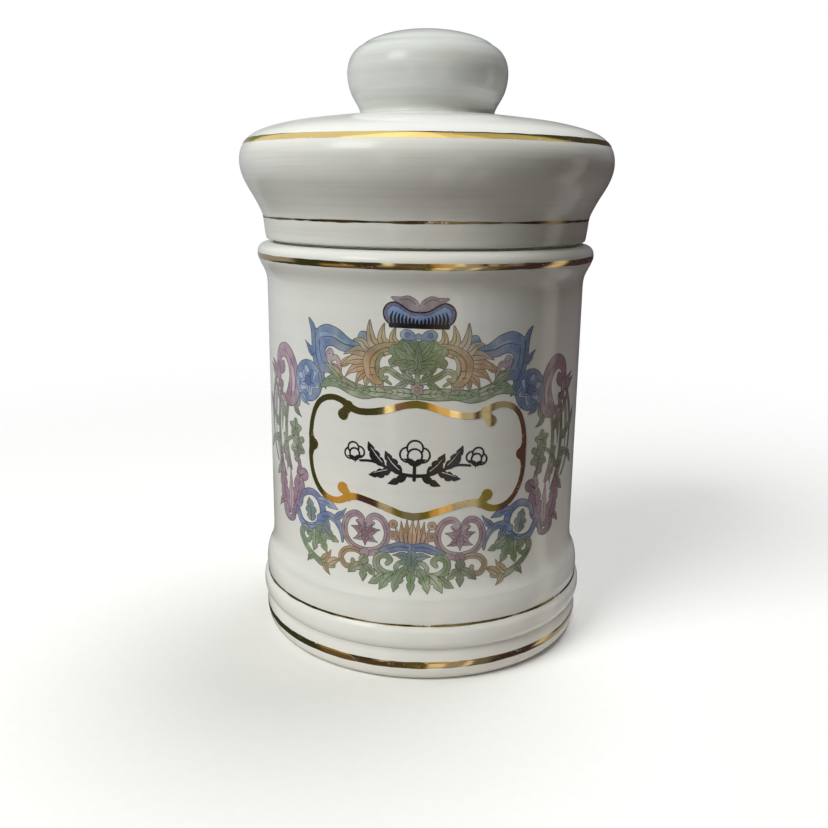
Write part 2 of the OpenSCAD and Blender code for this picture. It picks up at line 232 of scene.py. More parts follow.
def draw_wreath(a):
    # side stems, grey-green, with pale leaves between them
    for base, tip, w, b, ink in (((41.6, 71.0), (43.6, 60.4), 2.0, 0.6, "mauve"), ((47.4, 70.8), (48.4, 58.6), 1.9, 0.7, "mauve"), ((42.6, 60.0), (40.6, 50.0), 1.7, -0.6, "mauve"),
                                 ((48.0, 58.0), (44.6, 49.6), 1.6, -0.5, "mauve")):
        a.leaf(base, tip, w, ink, b, 0, 0.30, 0.16)
    for pts, w in ((([(38.9, 72.0), (40.3, 67.5), (41.0, 62.0), (40.4, 56.5), (38.4, 51.0)]), [1.7, 1.5, 1.4, 1.3, 0.9]),
                   (([(43.3, 73.5), (44.8, 68.5), (45.5, 62.5), (45.0, 57.0), (43.4, 51.5), (41.4, 48.4)]), [1.7, 1.5, 1.4, 1.2, 0.8]),
                   (([(46.9, 75.6), (49.4, 71.5), (51.1, 66.0), (51.3, 60.0), (49.6, 54.8), (47.0, 51.2)]), [1.5, 1.4, 1.3, 1.1, 0.7])):
        curl(a, pts, w, "green", 0.02, 0.18)
    for base, tip, w, b, n in (((41.0, 64.6), (45.4, 69.2), 2.9, 0.4, 2), ((45.6, 61.6), (50.8, 65.2), 2.9, -0.4, 2), ((45.0, 57.6), (50.2, 56.6), 2.9, 0.4, 2), ((51.2, 63.0), (54.0, 68.6), 2.3, 0.3, 2),
                               ((50.6, 57.0), (54.0, 53.0), 2.2, 0.3, 2), ((43.6, 52.8), (47.8, 47.0), 2.8, -0.5, 2), ((47.2, 74.2), (52.0, 77.6), 2.2, 0.4, 0), ((44.8, 68.0), (48.4, 73.6), 2.3, 0.3, 2),
                               ((41.0, 58.0), (44.6, 53.6), 2.2, -0.3, 2)):
        a.leaf(base, tip, w, "green", b, n)
    a.leaf((46.0, 75.0), (50.8, 79.0), 2.4, "mauve", 0.5)
    # ivy beside the frame
    curl(a, [(40.4, 58.4), (38.6, 59.6), (36.6, 60.2)], [1.1, 1.0, 0.8], "green", 0.0, 0.16, False)
    ivy(a, 36.2, 62.7, 2.9, "green", 0.4, -0.02)
    ivy(a, 35.3, 57.8, 3.3, "green", 0.9, -0.06)
    a.leaf((37.0, 56.4), (33.8, 52.4), 2.2, "green", -0.3, 2)
    a.shape(disc(33.2, 60.2, 0.9), "green", 0.05, 0.16)
    curl(a, spiral(35.9, 70.3, 2.2, 0.7, 30, 390), [1.2, 1.1, 0.8], "green", 0.02, 0.17, False)
    a.leaf((36.4, 69.2), (33.2, 66.4), 1.9, "green", 0.4)
    a.leaf((36.8, 72.0), (31.4, 72.2), 1.9, "green", -0.4)
    # mauve shoulder scrolls
    a.shape(smooth([(35.0, 70.4), (34.0, 74.4), (34.7, 78.8), (37.2, 83.0), (40.8, 84.8), (44.8, 83.4), (46.6, 80.2), (45.9, 77.2), (43.3, 76.0),
                    (41.3, 77.6), (42.0, 79.9), (43.4, 79.2), (43.1, 80.5), (41.2, 80.8), (39.4, 79.0), (38.9, 76.2), (40.0, 72.8), (41.6, 69.6), (38.4, 68.2)], 4, True),
            "mauve", 0.0, 0.24)
    a.fill(smooth([(36.2, 73.2), (36.0, 76.4), (37.0, 79.4), (37.8, 78.8), (37.2, 76.0), (37.6, 72.8)], 3, True), "mauve", 0.34)
    a.vein([(36.6, 71.4), (36.0, 75.4), (37.2, 79.6), (40.2, 82.4), (43.0, 82.6)], "mauve", 0.2)
    a.vein([(38.2, 70.6), (37.7, 74.6), (38.6, 78.4)], "mauve", 0.17)
    a.leaf((45.4, 79.2), (42.6, 70.0), 2.9, "mauve", 0.9, 2, 0.10)
    a.leaf((46.2, 79.0), (46.2, 71.0), 2.3, "mauve", -0.8, 0, 0.05)
    a.shape(disc(44.6, 73.4, 1.1), "mauve", -0.1, 0.18)
    # blue banner leaf and its knots
    ban = smooth([(13.2, 86.9), (11.9, 88.4), (12.3, 90.6), (14.3, 91.0), (15.2, 89.4), (14.1, 88.9), (15.5, 88.3), (17.6, 89.0), (20.4, 90.9), (23.8, 91.8),
                  (26.3, 91.0), (27.6, 90.2), (28.7, 91.7), (30.3, 92.8), (29.5, 90.0), (29.2, 87.2), (29.0, 84.0), (28.2, 81.0), (27.2, 78.4), (25.6, 77.0),
                  (24.8, 79.4), (23.2, 79.6), (20.8, 78.4), (22.6, 81.2), (24.2, 83.2), (24.6, 85.0), (23.9, 86.2), (22.2, 86.5), (19.8, 85.7), (16.6, 85.6)], 3, True)
    a.shape(ban, "blue", 0.0, 0.26)
    a.fill(smooth([(18.4, 87.6), (21.4, 89.2), (24.6, 89.8), (26.6, 89.0), (25.4, 88.2), (22.4, 88.4)], 3, True), "blue", 0.22)
    a.vein([(15.2, 87.1), (18.6, 87.4), (22.6, 88.8), (26.4, 88.2)], "blue", 0.24)
    a.vein([(27.9, 89.4), (27.9, 85.4), (27.0, 81.6), (25.9, 79.2)], "blue", 0.24)
    a.vein([(26.4, 87.6), (26.3, 84.6), (25.2, 81.6)], "blue", 0.18)
    a.leaf((28.8, 83.4), (31.6, 86.8), 1.7, "blue", 0.2)
    curl(a, [(22.4, 84.8), (23.0, 85.4), (23.8, 84.4), (22.8, 83.2), (21.2, 83.9), (20.2, 82.0), (20.0, 80.0), (19.0, 78.2)], [0.9, 1.2, 1.2, 1.3, 1.2, 1.0, 0.4], "mauve", 0.05, 0.18, False)
    a.leaf((19.8, 82.2), (16.2, 85.6), 1.9, "orange", 0.4)
    a.leaf((20.4, 80.6), (23.0, 82.4), 1.3, "mauve", 0.2)
    # blue roundel with an open flower
    a.shape([(x * 0.93 + 30.6 * 0.07, y) for x, y in disc(30.6, 76.6, 5.4, 26)], "blue", 0.0, 0.26)
    a.shape(rosette(30.6, 76.6, 4.2, 6, 0.4, 0.3, 6), "blue", 0.42, 0.2)
    a.shape(rosette(30.6, 76.6, 3.3, 5, 0.45, 0.9, 6), "blue", 0.12, 0.22)
    a.shape(disc(30.6, 76.6, 1.3), "blue", -0.22, 0.24)
    for k in range(5):
        t = 0.9 + k * 2 * math.pi / 5
        a.vein([(30.6 + 1.2 * math.cos(t), 76.6 + 1.2 * math.sin(t)), (30.6 + 2.8 * math.cos(t), 76.6 + 2.8 * math.sin(t))], "blue", 0.2)
    a.leaf((33.4, 72.8), (30.2, 70.2), 2.0, "blue", 0.3)
    a.leaf((26.0, 79.4), (24.2, 75.4), 2.2, "blue", 0.4)
    # garland over the frame
    a.shape(smooth([(0.0, 77.4), (4.0, 77.9), (8.0, 78.0), (12.4, 77.6), (16.6, 78.3), (20.8, 79.8), (24.6, 78.0), (26.2, 75.6), (23.0, 76.3), (20.2, 76.2), (17.0, 74.9),
                    (13.2, 74.3), (9.6, 75.1), (5.2, 74.9), (0.0, 75.2)], 3, False), "green", 0.02, 0.24)
    for p0, p1, w, bb in (((1.0, 76.4), (8.6, 76.6), 2.3, 0.2), ((7.8, 76.4), (16.2, 76.7), 2.5, -0.2), ((15.4, 76.6), (23.6, 78.0), 2.3, 0.5)):
        a.leaf(p0, p1, w, "green", bb, 0, 0.08, 0.18)
        for q in (0.3, 0.5, 0.7):
            x, y = lerp(p0[0], p1[0], q), lerp(p0[1], p1[1], q) + bb * 4 * q * (1 - q) * 0.8
            a.vein([(x - 0.5, y), (x + 0.5, y + 0.75)], "green", 0.14)
            a.vein([(x - 0.5, y), (x + 0.5, y - 0.75)], "green", 0.14)
    a.leaf((19.6, 78.8), (25.0, 82.0), 2.2, "green", 0.5, 0, 0.05)
    # the plume's body, with its comb of pointed feathers
    for base, tip, w, bb in (((9.4, 80.2), (8.0, 77.0), 1.7, 0.3), ((10.6, 80.2), (10.3, 76.9), 1.7, 0.3), ((11.8, 80.6), (12.8, 76.9), 1.8, 0.4),
                             ((12.6, 81.4), (15.6, 77.4), 2.0, 0.6), ((12.6, 82.6), (18.6, 79.2), 2.4, 0.9), ((12.4, 84.0), (19.9, 81.9), 2.7, 0.9),
                             ((11.8, 85.8), (19.0, 84.9), 2.7, 0.8)):
        a.leaf(base, tip, w, "orange", bb, 0, 0.02, 0.22)
    for pts, w, tone in (([(8.6, 86.4), (12.2, 86.9), (14.2, 88.6), (16.4, 88.7)], [2.2, 2.6, 1.9, 0.2], 0.06), ([(7.6, 86.8), (11.0, 88.3), (12.0, 90.9), (12.1, 94.0)], [2.2, 2.7, 1.8, 0.15], 0.10),
                         ([(6.2, 87.4), (8.7, 89.0), (9.0, 91.0), (8.4, 93.4)], [2.0, 2.4, 1.6, 0.15], 0.12), ([(4.4, 88.0), (6.1, 89.3), (6.2, 90.9), (5.6, 92.6)], [1.6, 1.9, 1.3, 0.15], 0.08)):
        a.shape(ribbon(pts, w, 5), "orange", tone, 0.24)
        a.vein(pts, "orange", 0.16)
    a.shape(smooth([(3.2, 88.4), (6.4, 88.9), (9.6, 88.3), (12.4, 86.6), (13.6, 84.4), (13.4, 81.8), (12.4, 79.6), (10.2, 78.2), (8.4, 78.9), (10.0, 80.6), (10.6, 82.8), (9.8, 85.2), (7.4, 86.6), (4.0, 86.8)], 4, True),
            "orange", -0.06, 0.24)
    for k in range(5):
        t = k / 4
        x0, y0 = lerp(7.0, 10.8, min(1, t * 1.3)), lerp(87.4, 80.6, t)
        a.vein([(x0, y0), (x0 + 1.0 + 0.4 * t, y0 - 0.15 + 0.5 * (1 - t))], "orange", 0.2)
    a.vein([(5.0, 87.8), (8.8, 87.2), (11.6, 84.6), (11.7, 81.2), (10.8, 79.6)], "orange", 0.2)
    # inner bracket scroll and the stem under the leaf
    curl(a, [(8.8, 86.0), (9.9, 83.8), (9.6, 81.6), (8.2, 79.8), (6.4, 78.6)], [0.5, 1.0, 1.2, 1.0, 0.5], "green", 0.0, 0.18, False)
    curl(a, [(0.4, 79.4), (2.8, 79.8), (5.2, 81.0), (7.2, 82.2), (8.9, 81.5), (8.7, 79.9), (7.5, 80.2)], [1.4, 1.4, 1.5, 1.4, 1.4, 1.2, 0.8], "green", 0.0, 0.2)
    a.leaf((2.6, 79.2), (6.2, 77.8), 1.6, "green", -0.2)
    a.leaf((1.2, 80.2), (4.2, 82.6), 1.5, "green", -0.3)
    # broad leaf under the crest, with the bow over it
    a.shape([(x, y) for x, y in smooth([(0.0, 89.4), (2.0, 90.2), (4.2, 89.7), (5.0, 88.5), (6.5, 88.2), (7.3, 86.6), (6.2, 85.6), (7.2, 84.4), (6.4, 82.8), (4.8, 83.3), (4.1, 82.0), (2.6, 82.4),
                                        (1.9, 81.4), (0.0, 81.6)], 4, False)] , "green", -0.08, 0.22)
    a.leaf((0.6, 84.4), (5.9, 87.6), 2.7, "green", -0.3, 3, -0.02)
    a.leaf((0.6, 83.6), (6.2, 83.8), 2.3, "green", 0.2, 3, -0.10)
    a.leaf((0.8, 85.6), (3.7, 89.6), 2.2, "green", -0.2, 2, 0.04)
    a.leaf((0.4, 83.2), (3.2, 82.0), 1.6, "green", 0.1, 0, -0.12)
    a.leaf((0.0, 81.8), (0.0, 88.6), 2.2, "green", 0.0, 3, -0.04, both=False)
    a.shape(ribbon([(0.0, 82.4), (0.0, 79.2)], [1.0, 1.3]), "green", -0.05, 0.18, both=False)
    a.shape(smooth([(0.4, 90.2), (1.5, 91.7), (3.2, 92.2), (4.4, 91.4), (4.2, 90.1), (2.6, 89.5), (1.2, 89.7)], 4, True), "blue", 0.12, 0.2)
    a.shape(disc(2.8, 90.9, 0.62, 10), "blue", -0.15, 0.14)
    a.shape(disc(0.0, 90.6, 0.75, 10), "blue", -0.05, 0.16, both=False)
    a.shape(rosette(0.0, 77.6, 1.75, 6, 0.26, math.pi / 2), "mauve", 0.0, 0.2, both=False)
    a.shape(disc(0.0, 77.6, 0.6, 9), "orange", -0.1, 0.16, both=False)
    # lower mauve leaves
    a.leaf((39.2, 38.2), (43.2, 52.4), 5.4, "mauve", -1.9, 4, 0.0, 0.22, depth=0.34)
    a.leaf((38.6, 38.0), (34.4, 54.4), 5.6, "mauve", 1.6, 4, -0.03, 0.22, depth=0.34)
    for t in (0.25, 0.42, 0.58, 0.72):
        x, y = lerp(38.6, 34.4, t) - 1.4 * math.sin(math.pi * t), lerp(38.0, 54.4, t)
        a.vein([(x, y), (x - 1.3, y + 1.3)], "mauve", 0.17)
        a.vein([(x, y), (x + 1.1, y + 1.5)], "mauve", 0.17)
        x, y = lerp(39.2, 43.2, t) + 1.6 * math.sin(math.pi * t), lerp(38.2, 52.4, t)
        a.vein([(x, y), (x + 1.1, y + 1.4)], "mauve", 0.17)
    a.leaf((38.7, 39.4), (38.9, 51.6), 2.5, "mauve", 0.2, 0, 0.32, 0.2)
    curl(a, [(37.0, 39.4), (37.4, 37.4), (39.8, 36.6), (42.2, 37.6), (42.6, 39.6), (41.4, 40.2)], [1.0, 1.6, 1.7, 1.5, 1.2, 0.8], "mauve", -0.05, 0.2, False)
    a.shape(disc(32.4, 50.9, 1.75), "mauve", -0.05, 0.22)
    a.vein([(34.6, 49.6), (33.2, 50.6), (32.2, 51.2)], "mauve", 0.3)
    a.leaf((38.6, 51.2), (42.4, 54.8), 2.2, "mauve", -0.3, 2)
    a.leaf((43.2, 41.0), (46.4, 38.0), 2.0, "mauve", 0.3)
    a.leaf((36.4, 53.8), (35.0, 57.0), 1.7, "mauve", 0.2)
    # blue loops
    a.shape(ribbon([(35.2, 40.6), (33.4, 37.6), (30.4, 36.9), (27.2, 38.2), (25.2, 41.6), (26.2, 45.2), (29.2, 46.9), (32.6, 45.7), (34.0, 43.0)], [1.8, 2.2, 2.1, 2.1, 2.0, 1.8, 1.2]), "blue", 0.0, 0.24)
    a.vein([(33.2, 38.4), (30.2, 37.4), (27.4, 38.8), (25.8, 41.8), (26.8, 44.8)], "blue", 0.18)
    a.leaf((29.4, 38.8), (30.4, 45.0), 4.4, "green", 0.2, 3, 0.02)
    a.leaf((27.4, 45.2), (20.4, 44.0), 2.6, "blue", -0.6, 2, 0.04)
    a.shape(ribbon([(26.4, 40.4), (23.6, 41.8), (20.8, 40.9), (19.1, 38.4), (18.8, 35.6)], [2.0, 2.1, 1.9, 1.5, 0.5]), "blue", 0.02, 0.22)
    a.vein([(25.6, 40.9), (23.2, 41.6), (20.9, 40.6), (19.5, 38.6)], "blue", 0.16)
    a.leaf((21.2, 41.6), (17.8, 45.0), 1.9, "blue", 0.3)
    a.leaf((24.4, 41.0), (22.2, 37.0), 2.0, "blue", 0.3)
    # green corner sprays
    curl(a, [(24.0, 39.4), (26.6, 37.0), (29.8, 35.6), (32.4, 36.2), (33.6, 34.2), (31.8, 31.4), (28.6, 29.2), (25.0, 27.9), (21.6, 28.2)], [1.1, 1.6, 1.8, 1.7, 1.6, 1.6, 1.9, 1.3], "green", 0.0, 0.2)
    curl(a, spiral(31.0, 34.2, 2.1, 0.6, 40, -260, 10), [1.3, 1.2, 0.9], "green", 0.04, 0.18, False)
    for base, tip, w, bb in (((26.6, 38.0), (23.8, 31.4), 3.7, 0.4), ((27.8, 37.2), (28.6, 30.6), 3.4, -0.3), ((25.6, 38.4), (20.0, 35.2), 3.0, 0.4)):
        a.leaf(base, tip, w, "green", bb, 3, 0.0)
    a.shape(disc(26.6, 37.4, 1.15, 12), "green", -0.15, 0.18)
    a.leaf((25.6, 28.6), (22.4, 32.4), 2.4, "orange", 0.4, 0, 0.0)
    a.leaf((28.8, 29.6), (31.0, 26.9), 2.0, "green", 0.2)
    a.leaf((23.4, 28.2), (18.8, 30.6), 2.2, "orange", -0.4)
    a.leaf((24.8, 28.0), (22.4, 25.4), 1.7, "orange", 0.2)
    # mauve rings with flowers, their tops turned in as scrolls
    curl(a, [(12.0, 34.6), (9.0, 35.3), (6.9, 37.4), (6.4, 40.4), (7.6, 43.2), (9.8, 44.2), (11.4, 43.0), (11.0, 41.8), (10.1, 42.2)], [1.4, 1.6, 1.7, 1.7, 1.7, 1.6, 1.3, 0.8], "mauve", 0.04, 0.2)
    curl(a, [(12.6, 34.6), (15.6, 35.3), (17.7, 37.4), (18.2, 40.4), (17.0, 43.2), (14.8, 44.2), (13.2, 43.0), (13.6, 41.8), (14.5, 42.2)], [1.4, 1.6, 1.7, 1.7, 1.7, 1.6, 1.3, 0.8], "mauve", 0.04, 0.2)
    for tip, w, bb in (((8.3, 40.6), 2.3, -0.2), ((16.3, 40.6), 2.3, 0.2), ((8.9, 37.2), 2.1, 0.3), ((15.7, 37.2), 2.1, -0.3), ((12.3, 35.8), 1.9, 0.0), ((12.3, 42.2), 2.0, 0.0), ((10.3, 42.0), 1.5, 0.1), ((14.3, 42.0), 1.5, -0.1)):
        a.leaf((12.3, 39.2), tip, w, "mauve", bb, 0, -0.10, 0.2)
    a.shape(disc(12.3, 39.2, 1.0, 12), "mauve", -0.28, 0.2)
    curl(a, [(12.9, 33.4), (14.8, 34.2), (17.6, 33.8), (19.2, 31.6), (18.0, 29.4), (15.8, 29.6), (15.7, 31.2)], [1.3, 1.4, 1.6, 1.6, 1.4, 1.2], "orange", -0.06, 0.2)
    curl(a, [(11.7, 33.4), (10.4, 34.0), (9.0, 33.4), (8.8, 32.0)], [1.2, 1.2, 1.1, 1.0], "mauve", 0.0, 0.18, False)
    a.shape(disc(12.4, 34.0, 1.3, 12), "mauve", -0.12, 0.2)
    a.leaf((12.5, 33.4), (12.6, 26.0), 3.5, "green", 0.1, 3, -0.08)
    a.leaf((12.8, 30.6), (17.0, 27.6), 2.6, "green", 0.3, 2, -0.05)
    a.leaf((12.2, 30.6), (9.4, 27.8), 2.3, "green", -0.2, 2, -0.05)
    a.shape(disc(12.5, 31.6, 0.95, 12), "green", -0.2, 0.18)
    # shell between the rings: upright flutes held by two rolls
    for x, top, w in ((4.3, 42.0, 2.0), (2.9, 43.6, 2.0), (1.45, 44.3, 1.9)):
        a.leaf((x * 0.62, 37.0), (x, top), w, "orange", -0.15, 0, 0.0, 0.22)
    a.leaf((0.0, 36.8), (0.0, 44.6), 2.2, "orange", 0.0, 0, 0.05, both=False)
    for cy, r in ((42.6, 1.15), (39.6, 1.2)):
        a.shape(disc(4.9, cy, r, 12), "orange", -0.02, 0.2)
        a.shape(disc(4.9, cy, r * 0.4, 8), "orange", -0.2, 0.14)
    # blue swag
    a.shape(smooth([(0.0, 37.4), (2.8, 37.9), (5.8, 37.0), (8.8, 35.0), (5.4, 34.8), (2.6, 35.6), (0.0, 35.4)], 4, False), "blue", -0.03, 0.24)
    a.vein([(0.8, 36.5), (3.6, 36.7), (6.6, 35.5)], "blue", 0.2)
    # green fleuron at the foot
    a.leaf((0.8, 33.8), (4.9, 34.2), 2.2, "green", 0.3)
    curl(a, [(0.8, 31.0), (3.4, 28.9), (6.6, 28.8), (8.9, 30.6), (8.9, 33.0), (7.0, 34.0), (5.5, 32.9), (6.3, 31.7)], [2.4, 2.5, 2.2, 1.9, 1.7, 1.5, 1.1], "green", 0.0, 0.22)
    curl(a, [(1.2, 32.6), (3.0, 32.2), (4.0, 30.8), (3.2, 29.8)], [1.1, 1.3, 1.2, 0.8], "green", 0.04, 0.18, False)
    a.leaf((7.0, 28.9), (11.0, 25.8), 2.4, "green", -0.3, 2)
    a.leaf((4.4, 29.2), (8.0, 24.6), 2.9, "green", 0.4, 2)
    a.leaf((1.8, 30.6), (4.3, 24.4), 3.2, "green", 0.5, 3, -0.04)
    a.leaf((0.0, 36.0), (0.0, 28.8), 3.2, "green", 0.0, 3, -0.08, both=False)
    a.leaf((0.0, 30.2), (0.0, 24.0), 2.5, "green", 0.0, 2, -0.02, both=False)
    a.shape(disc(0.0, 31.0, 0.95, 10), "green", -0.2, 0.18, both=False)


def draw_crest(a):
    a.shape(smooth([(0.05, 96.7), (0.5, 98.9), (2.6, 100.2), (4.5, 99.9), (7.0, 99.8), (5.9, 98.8), (4.6, 97.9), (2.4, 96.5)], 4, True), "mauve", -0.02, 0.15)
    a.vein([(0.9, 98.2), (2.8, 99.4), (5.0, 99.1)], "mauve", 0.14)
    cap = smooth([(0.0, 96.3), (2.2, 96.6), (4.2, 97.8), (6.0, 98.6), (7.8, 98.0), (8.7, 96.4), (8.3, 94.4), (7.0, 93.2)], 5) + [(0.0, 93.1)]
    full = [(x, y) for x, y in cap] + [(-x, y) for x, y in cap[::-1][1:-1]]
    p = tidy(full)
    a.fill(offset(p, 0.32), "crest", LINE, False)
    a.fill(offset(p, -0.36), "crest", -0.3, False)
    inner = smooth([(0.0, 95.4), (2.4, 95.7), (4.4, 96.9), (6.1, 97.6), (7.2, 97.0), (7.6, 95.8), (6.9, 94.7), (5.0, 94.3), (2.4, 94.0), (0.0, 94.0)], 4)
    a.fill([(x, y) for x, y in inner] + [(-x, y) for x, y in inner[::-1][1:-1]], "crest", 0.0, False)
    for k in range(8):
        x = 0.45 + k * 0.88
        h = 1.35 + 0.27 * k
        a.fill(ribbon([(x, 93.3), (x + 0.05 + 0.02 * k, 93.3 + h * 0.55), (x + 0.04 - 0.05 * k, 93.3 + h)], [0.66, 0.58, 0.2], 3, False), "crest", LINE)
    a.fill([(-7.1, 92.45), (7.1, 92.45), (7.45, 93.0), (7.1, 93.6), (-7.1, 93.6), (-7.45, 93.0)], "crest", LINE, False)


def draw_label(a):
    """A sprig of cotton: bolls of soft lobes on a curving stem, with leaves."""
    def boll(cx, cy, r, both, tilt=0.0):
        for k, (dx, dy, q) in enumerate(((-0.62, 0.02, 0.66), (0.62, 0.02, 0.66), (0.0, 0.62, 0.68), (0.0, -0.06, 0.62))):
            x = cx + r * (dx * math.cos(tilt) - dy * math.sin(tilt))
            y = cy + r * (dx * math.sin(tilt) + dy * math.cos(tilt))
            a.fill(disc(x, y, r * q + 0.24, 18), "label", LINE, both)
            a.fill(disc(x, y, r * q - 0.22, 18), None, 0.0, both)
        for t0 in (-150, -90, -30):
            t = math.radians(t0) + tilt
            b = (cx + r * 0.35 * math.cos(t), cy - r * 0.25 + r * 0.3 * math.sin(t))
            a.fill(frond((cx + 0.25 * r * math.cos(tilt - math.pi / 2), cy + 0.9 * r * math.sin(tilt - math.pi / 2)),
                         (cx + r * 1.05 * math.cos(t + (0.35 if t0 == -30 else -0.35 if t0 == -150 else 0)),
                          cy + r * (0.95 if t0 == -90 else 0.72) * math.sin(t)), r * 0.55, 0.12 * r * (1 if t0 == -30 else -1 if t0 == -150 else 0), 7), "label", LINE, both)
    a.fill(ribbon([(0.0, 55.6), (3.4, 56.0), (7.0, 57.4), (10.6, 58.6), (14.0, 58.4)], [0.95, 0.8, 0.7, 0.6]), "label", LINE)
    a.fill(ribbon([(0.0, 54.6), (0.0, 58.6)], [0.9, 0.8]), "label", LINE, False)
    a.fill(lobed((3.2, 56.2), (7.4, 61.6), 3.2, -0.5, 3, 0.4), "label", LINE)
    a.fill(lobed((7.6, 57.8), (11.9, 63.6), 2.9, -0.6, 3, 0.4), "label", LINE)
    a.fill(lobed((6.0, 57.0), (11.6, 55.0), 2.6, -0.4, 3, 0.4), "label", LINE)
    a.fill(lobed((2.0, 55.8), (6.6, 53.2), 2.2, -0.3, 2, 0.4), "label", LINE)
    for pts in (((3.8, 57.0), (5.6, 58.6), (6.8, 60.2)), ((8.2, 58.6), (9.8, 60.4), (11.2, 62.2)), ((6.8, 56.8), (8.8, 56.2), (10.4, 55.6))):
        a.fill(ribbon(pts, [0.22, 0.2, 0.1], 3, False), None)
    boll(0.0, 61.0, 2.9, False)
    boll(15.6, 60.2, 2.15, True, -0.25)


def frame_outline():
    """The label frame's centre line, clockwise from the top, each point with the line's width; the corner scrolls turn inwards."""
    top = [(0.0, 74.0, 1.9), (3.0, 73.5, 1.7), (7.0, 72.2, 1.8), (11.0, 71.3, 1.7), (14.6, 71.1, 1.7), (17.2, 71.9, 2.1)]
    lobe = [(17.2, 71.9, 2.1), (19.4, 73.2, 1.7), (22.2, 73.7, 1.5), (25.2, 72.8, 1.5), (27.4, 70.6, 1.4), (28.8, 67.2, 1.4), (29.4, 63.4, 1.5), (29.0, 60.2, 2.4),
            (29.5, 57.0, 1.5), (28.9, 53.2, 1.4), (27.4, 50.0, 1.5), (25.0, 47.6, 1.6), (22.0, 46.6, 1.7), (19.4, 47.0, 1.8), (17.2, 48.4, 2.1)]
    bottom = [(17.2, 48.4, 2.1), (14.4, 48.6, 1.7), (10.6, 47.8, 1.7), (6.6, 46.6, 1.8), (3.0, 45.4, 1.8), (0.0, 44.9, 2.0)]
    return top, lobe, bottom


def draw_frame(a):
    for part in frame_outline():
        pts = [(p[0], p[1]) for p in part]
        a.fill(ribbon(pts, [p[2] for p in part], 5, caps=False), "gilt", 0.0)
    a.fill(ribbon([(17.4, 72.2), (18.2, 70.8), (19.0, 69.7)], [2.5, 2.3, 2.0], 4), "gilt", 0.0)
    a.fill(disc(19.0, 69.7, 1.5, 18), "gilt", 0.0)
    a.fill(ribbon([(17.3, 48.2), (18.1, 49.6), (18.9, 50.5)], [2.5, 2.3, 2.0], 4), "gilt", 0.0)
    a.fill(disc(18.9, 50.4, 1.55, 18), "gilt", 0.0)
    a.fill(smooth([(28.9, 63.6), (28.4, 62.2), (27.2, 61.2), (26.9, 60.2), (27.4, 59.2), (28.4, 58.4), (29.0, 57.0), (29.8, 60.2)], 4, True), "gilt", 0.0)
    a.fill([(-0.5, 74.85), (-0.16, 74.93), (0.16, 74.93), (0.5, 74.85), (0.5, 73.2), (-0.5, 73.2)], "gilt", 0.0, False)
    a.fill([(-0.5, 43.99), (-0.16, 43.93), (0.16, 43.93), (0.5, 43.99), (0.5, 45.6), (-0.5, 45.6)], "gilt", 0.0, False)

# ---- turned shapes: profiles as (radius, height) in millimetres ----
def spline(p, n=9):
    """Catmull-Rom through p with reflected end points, n steps a span."""
    def at(i):
        if i < 0:
            return tuple(2 * a - b for a, b in zip(p[0], p[1]))
        if i > len(p) - 1:
            return tuple(2 * a - b for a, b in zip(p[-1], p[-2]))
        return p[i]
    out = []
    for i in range(len(p) - 1):
        a, b, c, d = at(i - 1), p[i], p[i + 1], at(i + 2)
        for j in range(n):
            t = j / n
            out.append(tuple(0.5 * (2 * b[k] + (c[k] - a[k]) * t + (2 * a[k] - 5 * b[k] + 4 * c[k] - d[k]) * t * t + (3 * b[k] - a[k] - 3 * c[k] + d[k]) * t ** 3)
                             for k in (0, 1)))
    return out + [tuple(p[-1])]


def walk(*legs):
    """Joins legs end to end and leaves out repeated points."""
    out = []
    for leg in legs:
        for q in leg:
            if not out or math.hypot(q[0] - out[-1][0], q[1] - out[-1][1]) > 0.004:
                out.append((q[0], q[1]))
    return out


def line(a, b, step=2.0):
    n = max(1, int(math.hypot(b[0] - a[0], b[1] - a[1]) / step))
    return [(lerp(a[0], b[0], i / n), lerp(a[1], b[1], i / n)) for i in range(n + 1)]


def fillet(p, a, b, c, r, n=4):
    """The corner b between a and c, rounded with radius about r."""
    u = Vector((a[0] - b[0], a[1] - b[1])).normalized() * r
    v = Vector((c[0] - b[0], c[1] - b[1])).normalized() * r
    for i in range(n + 1):
        t = i / n
        p.append((b[0] + u.x * (1 - t) ** 2 + v.x * t * t, b[1] + u.y * (1 - t) ** 2 + v.y * t * t))


def rounded(pts, radii, n=4):
    """A closed outline with some corners rounded: radii maps an index to its radius."""
    out, m = [], len(pts)
    for i, q in enumerate(pts):
        if i in radii:
            fillet(out, pts[i - 1], q, pts[(i + 1) % m], radii[i], n)
        else:
            out.append(q)
    return out


FOOT = spline([(43.7, 0), (44.9, 0.5), (45.9, 1.7), (46.35, 3.3), (46.5, 5.2), (46.4, 7.0), (46.15, 8.4), (45.95, 9.2)])
ROLL = spline([(45.95, 9.2), (46.55, 9.9), (47.05, 11.1), (47.2, 12.6), (47.0, 14.2), (46.5, 15.3), (46.05, 15.9)])
TORUS = spline([(46.05, 15.9), (46.2, 17.0), (46.3, 18.6), (46.2, 20.2), (45.95, 21.6), (45.6, 22.7)])
COVE = spline([(45.6, 22.7), (45.05, 23.9), (44.6, 25.2), (44.3, 26.7), (44.15, 28.3), (WALL_R, 30)])
RIM = spline([(WALL_R, 99.0), (44.15, 100.4), (44.4, 101.9), (44.9, 103.3), (45.55, 104.6), (46.15, 105.9), (46.5, 107.2), (46.5, 108.4),
              (46.1, 109.4), (45.3, 110.1), (44.2, 110.5)])
JAR_OUTER = walk(FOOT, ROLL, TORUS, COVE, line((WALL_R, 30), (WALL_R, 99.0), 3.0), RIM)
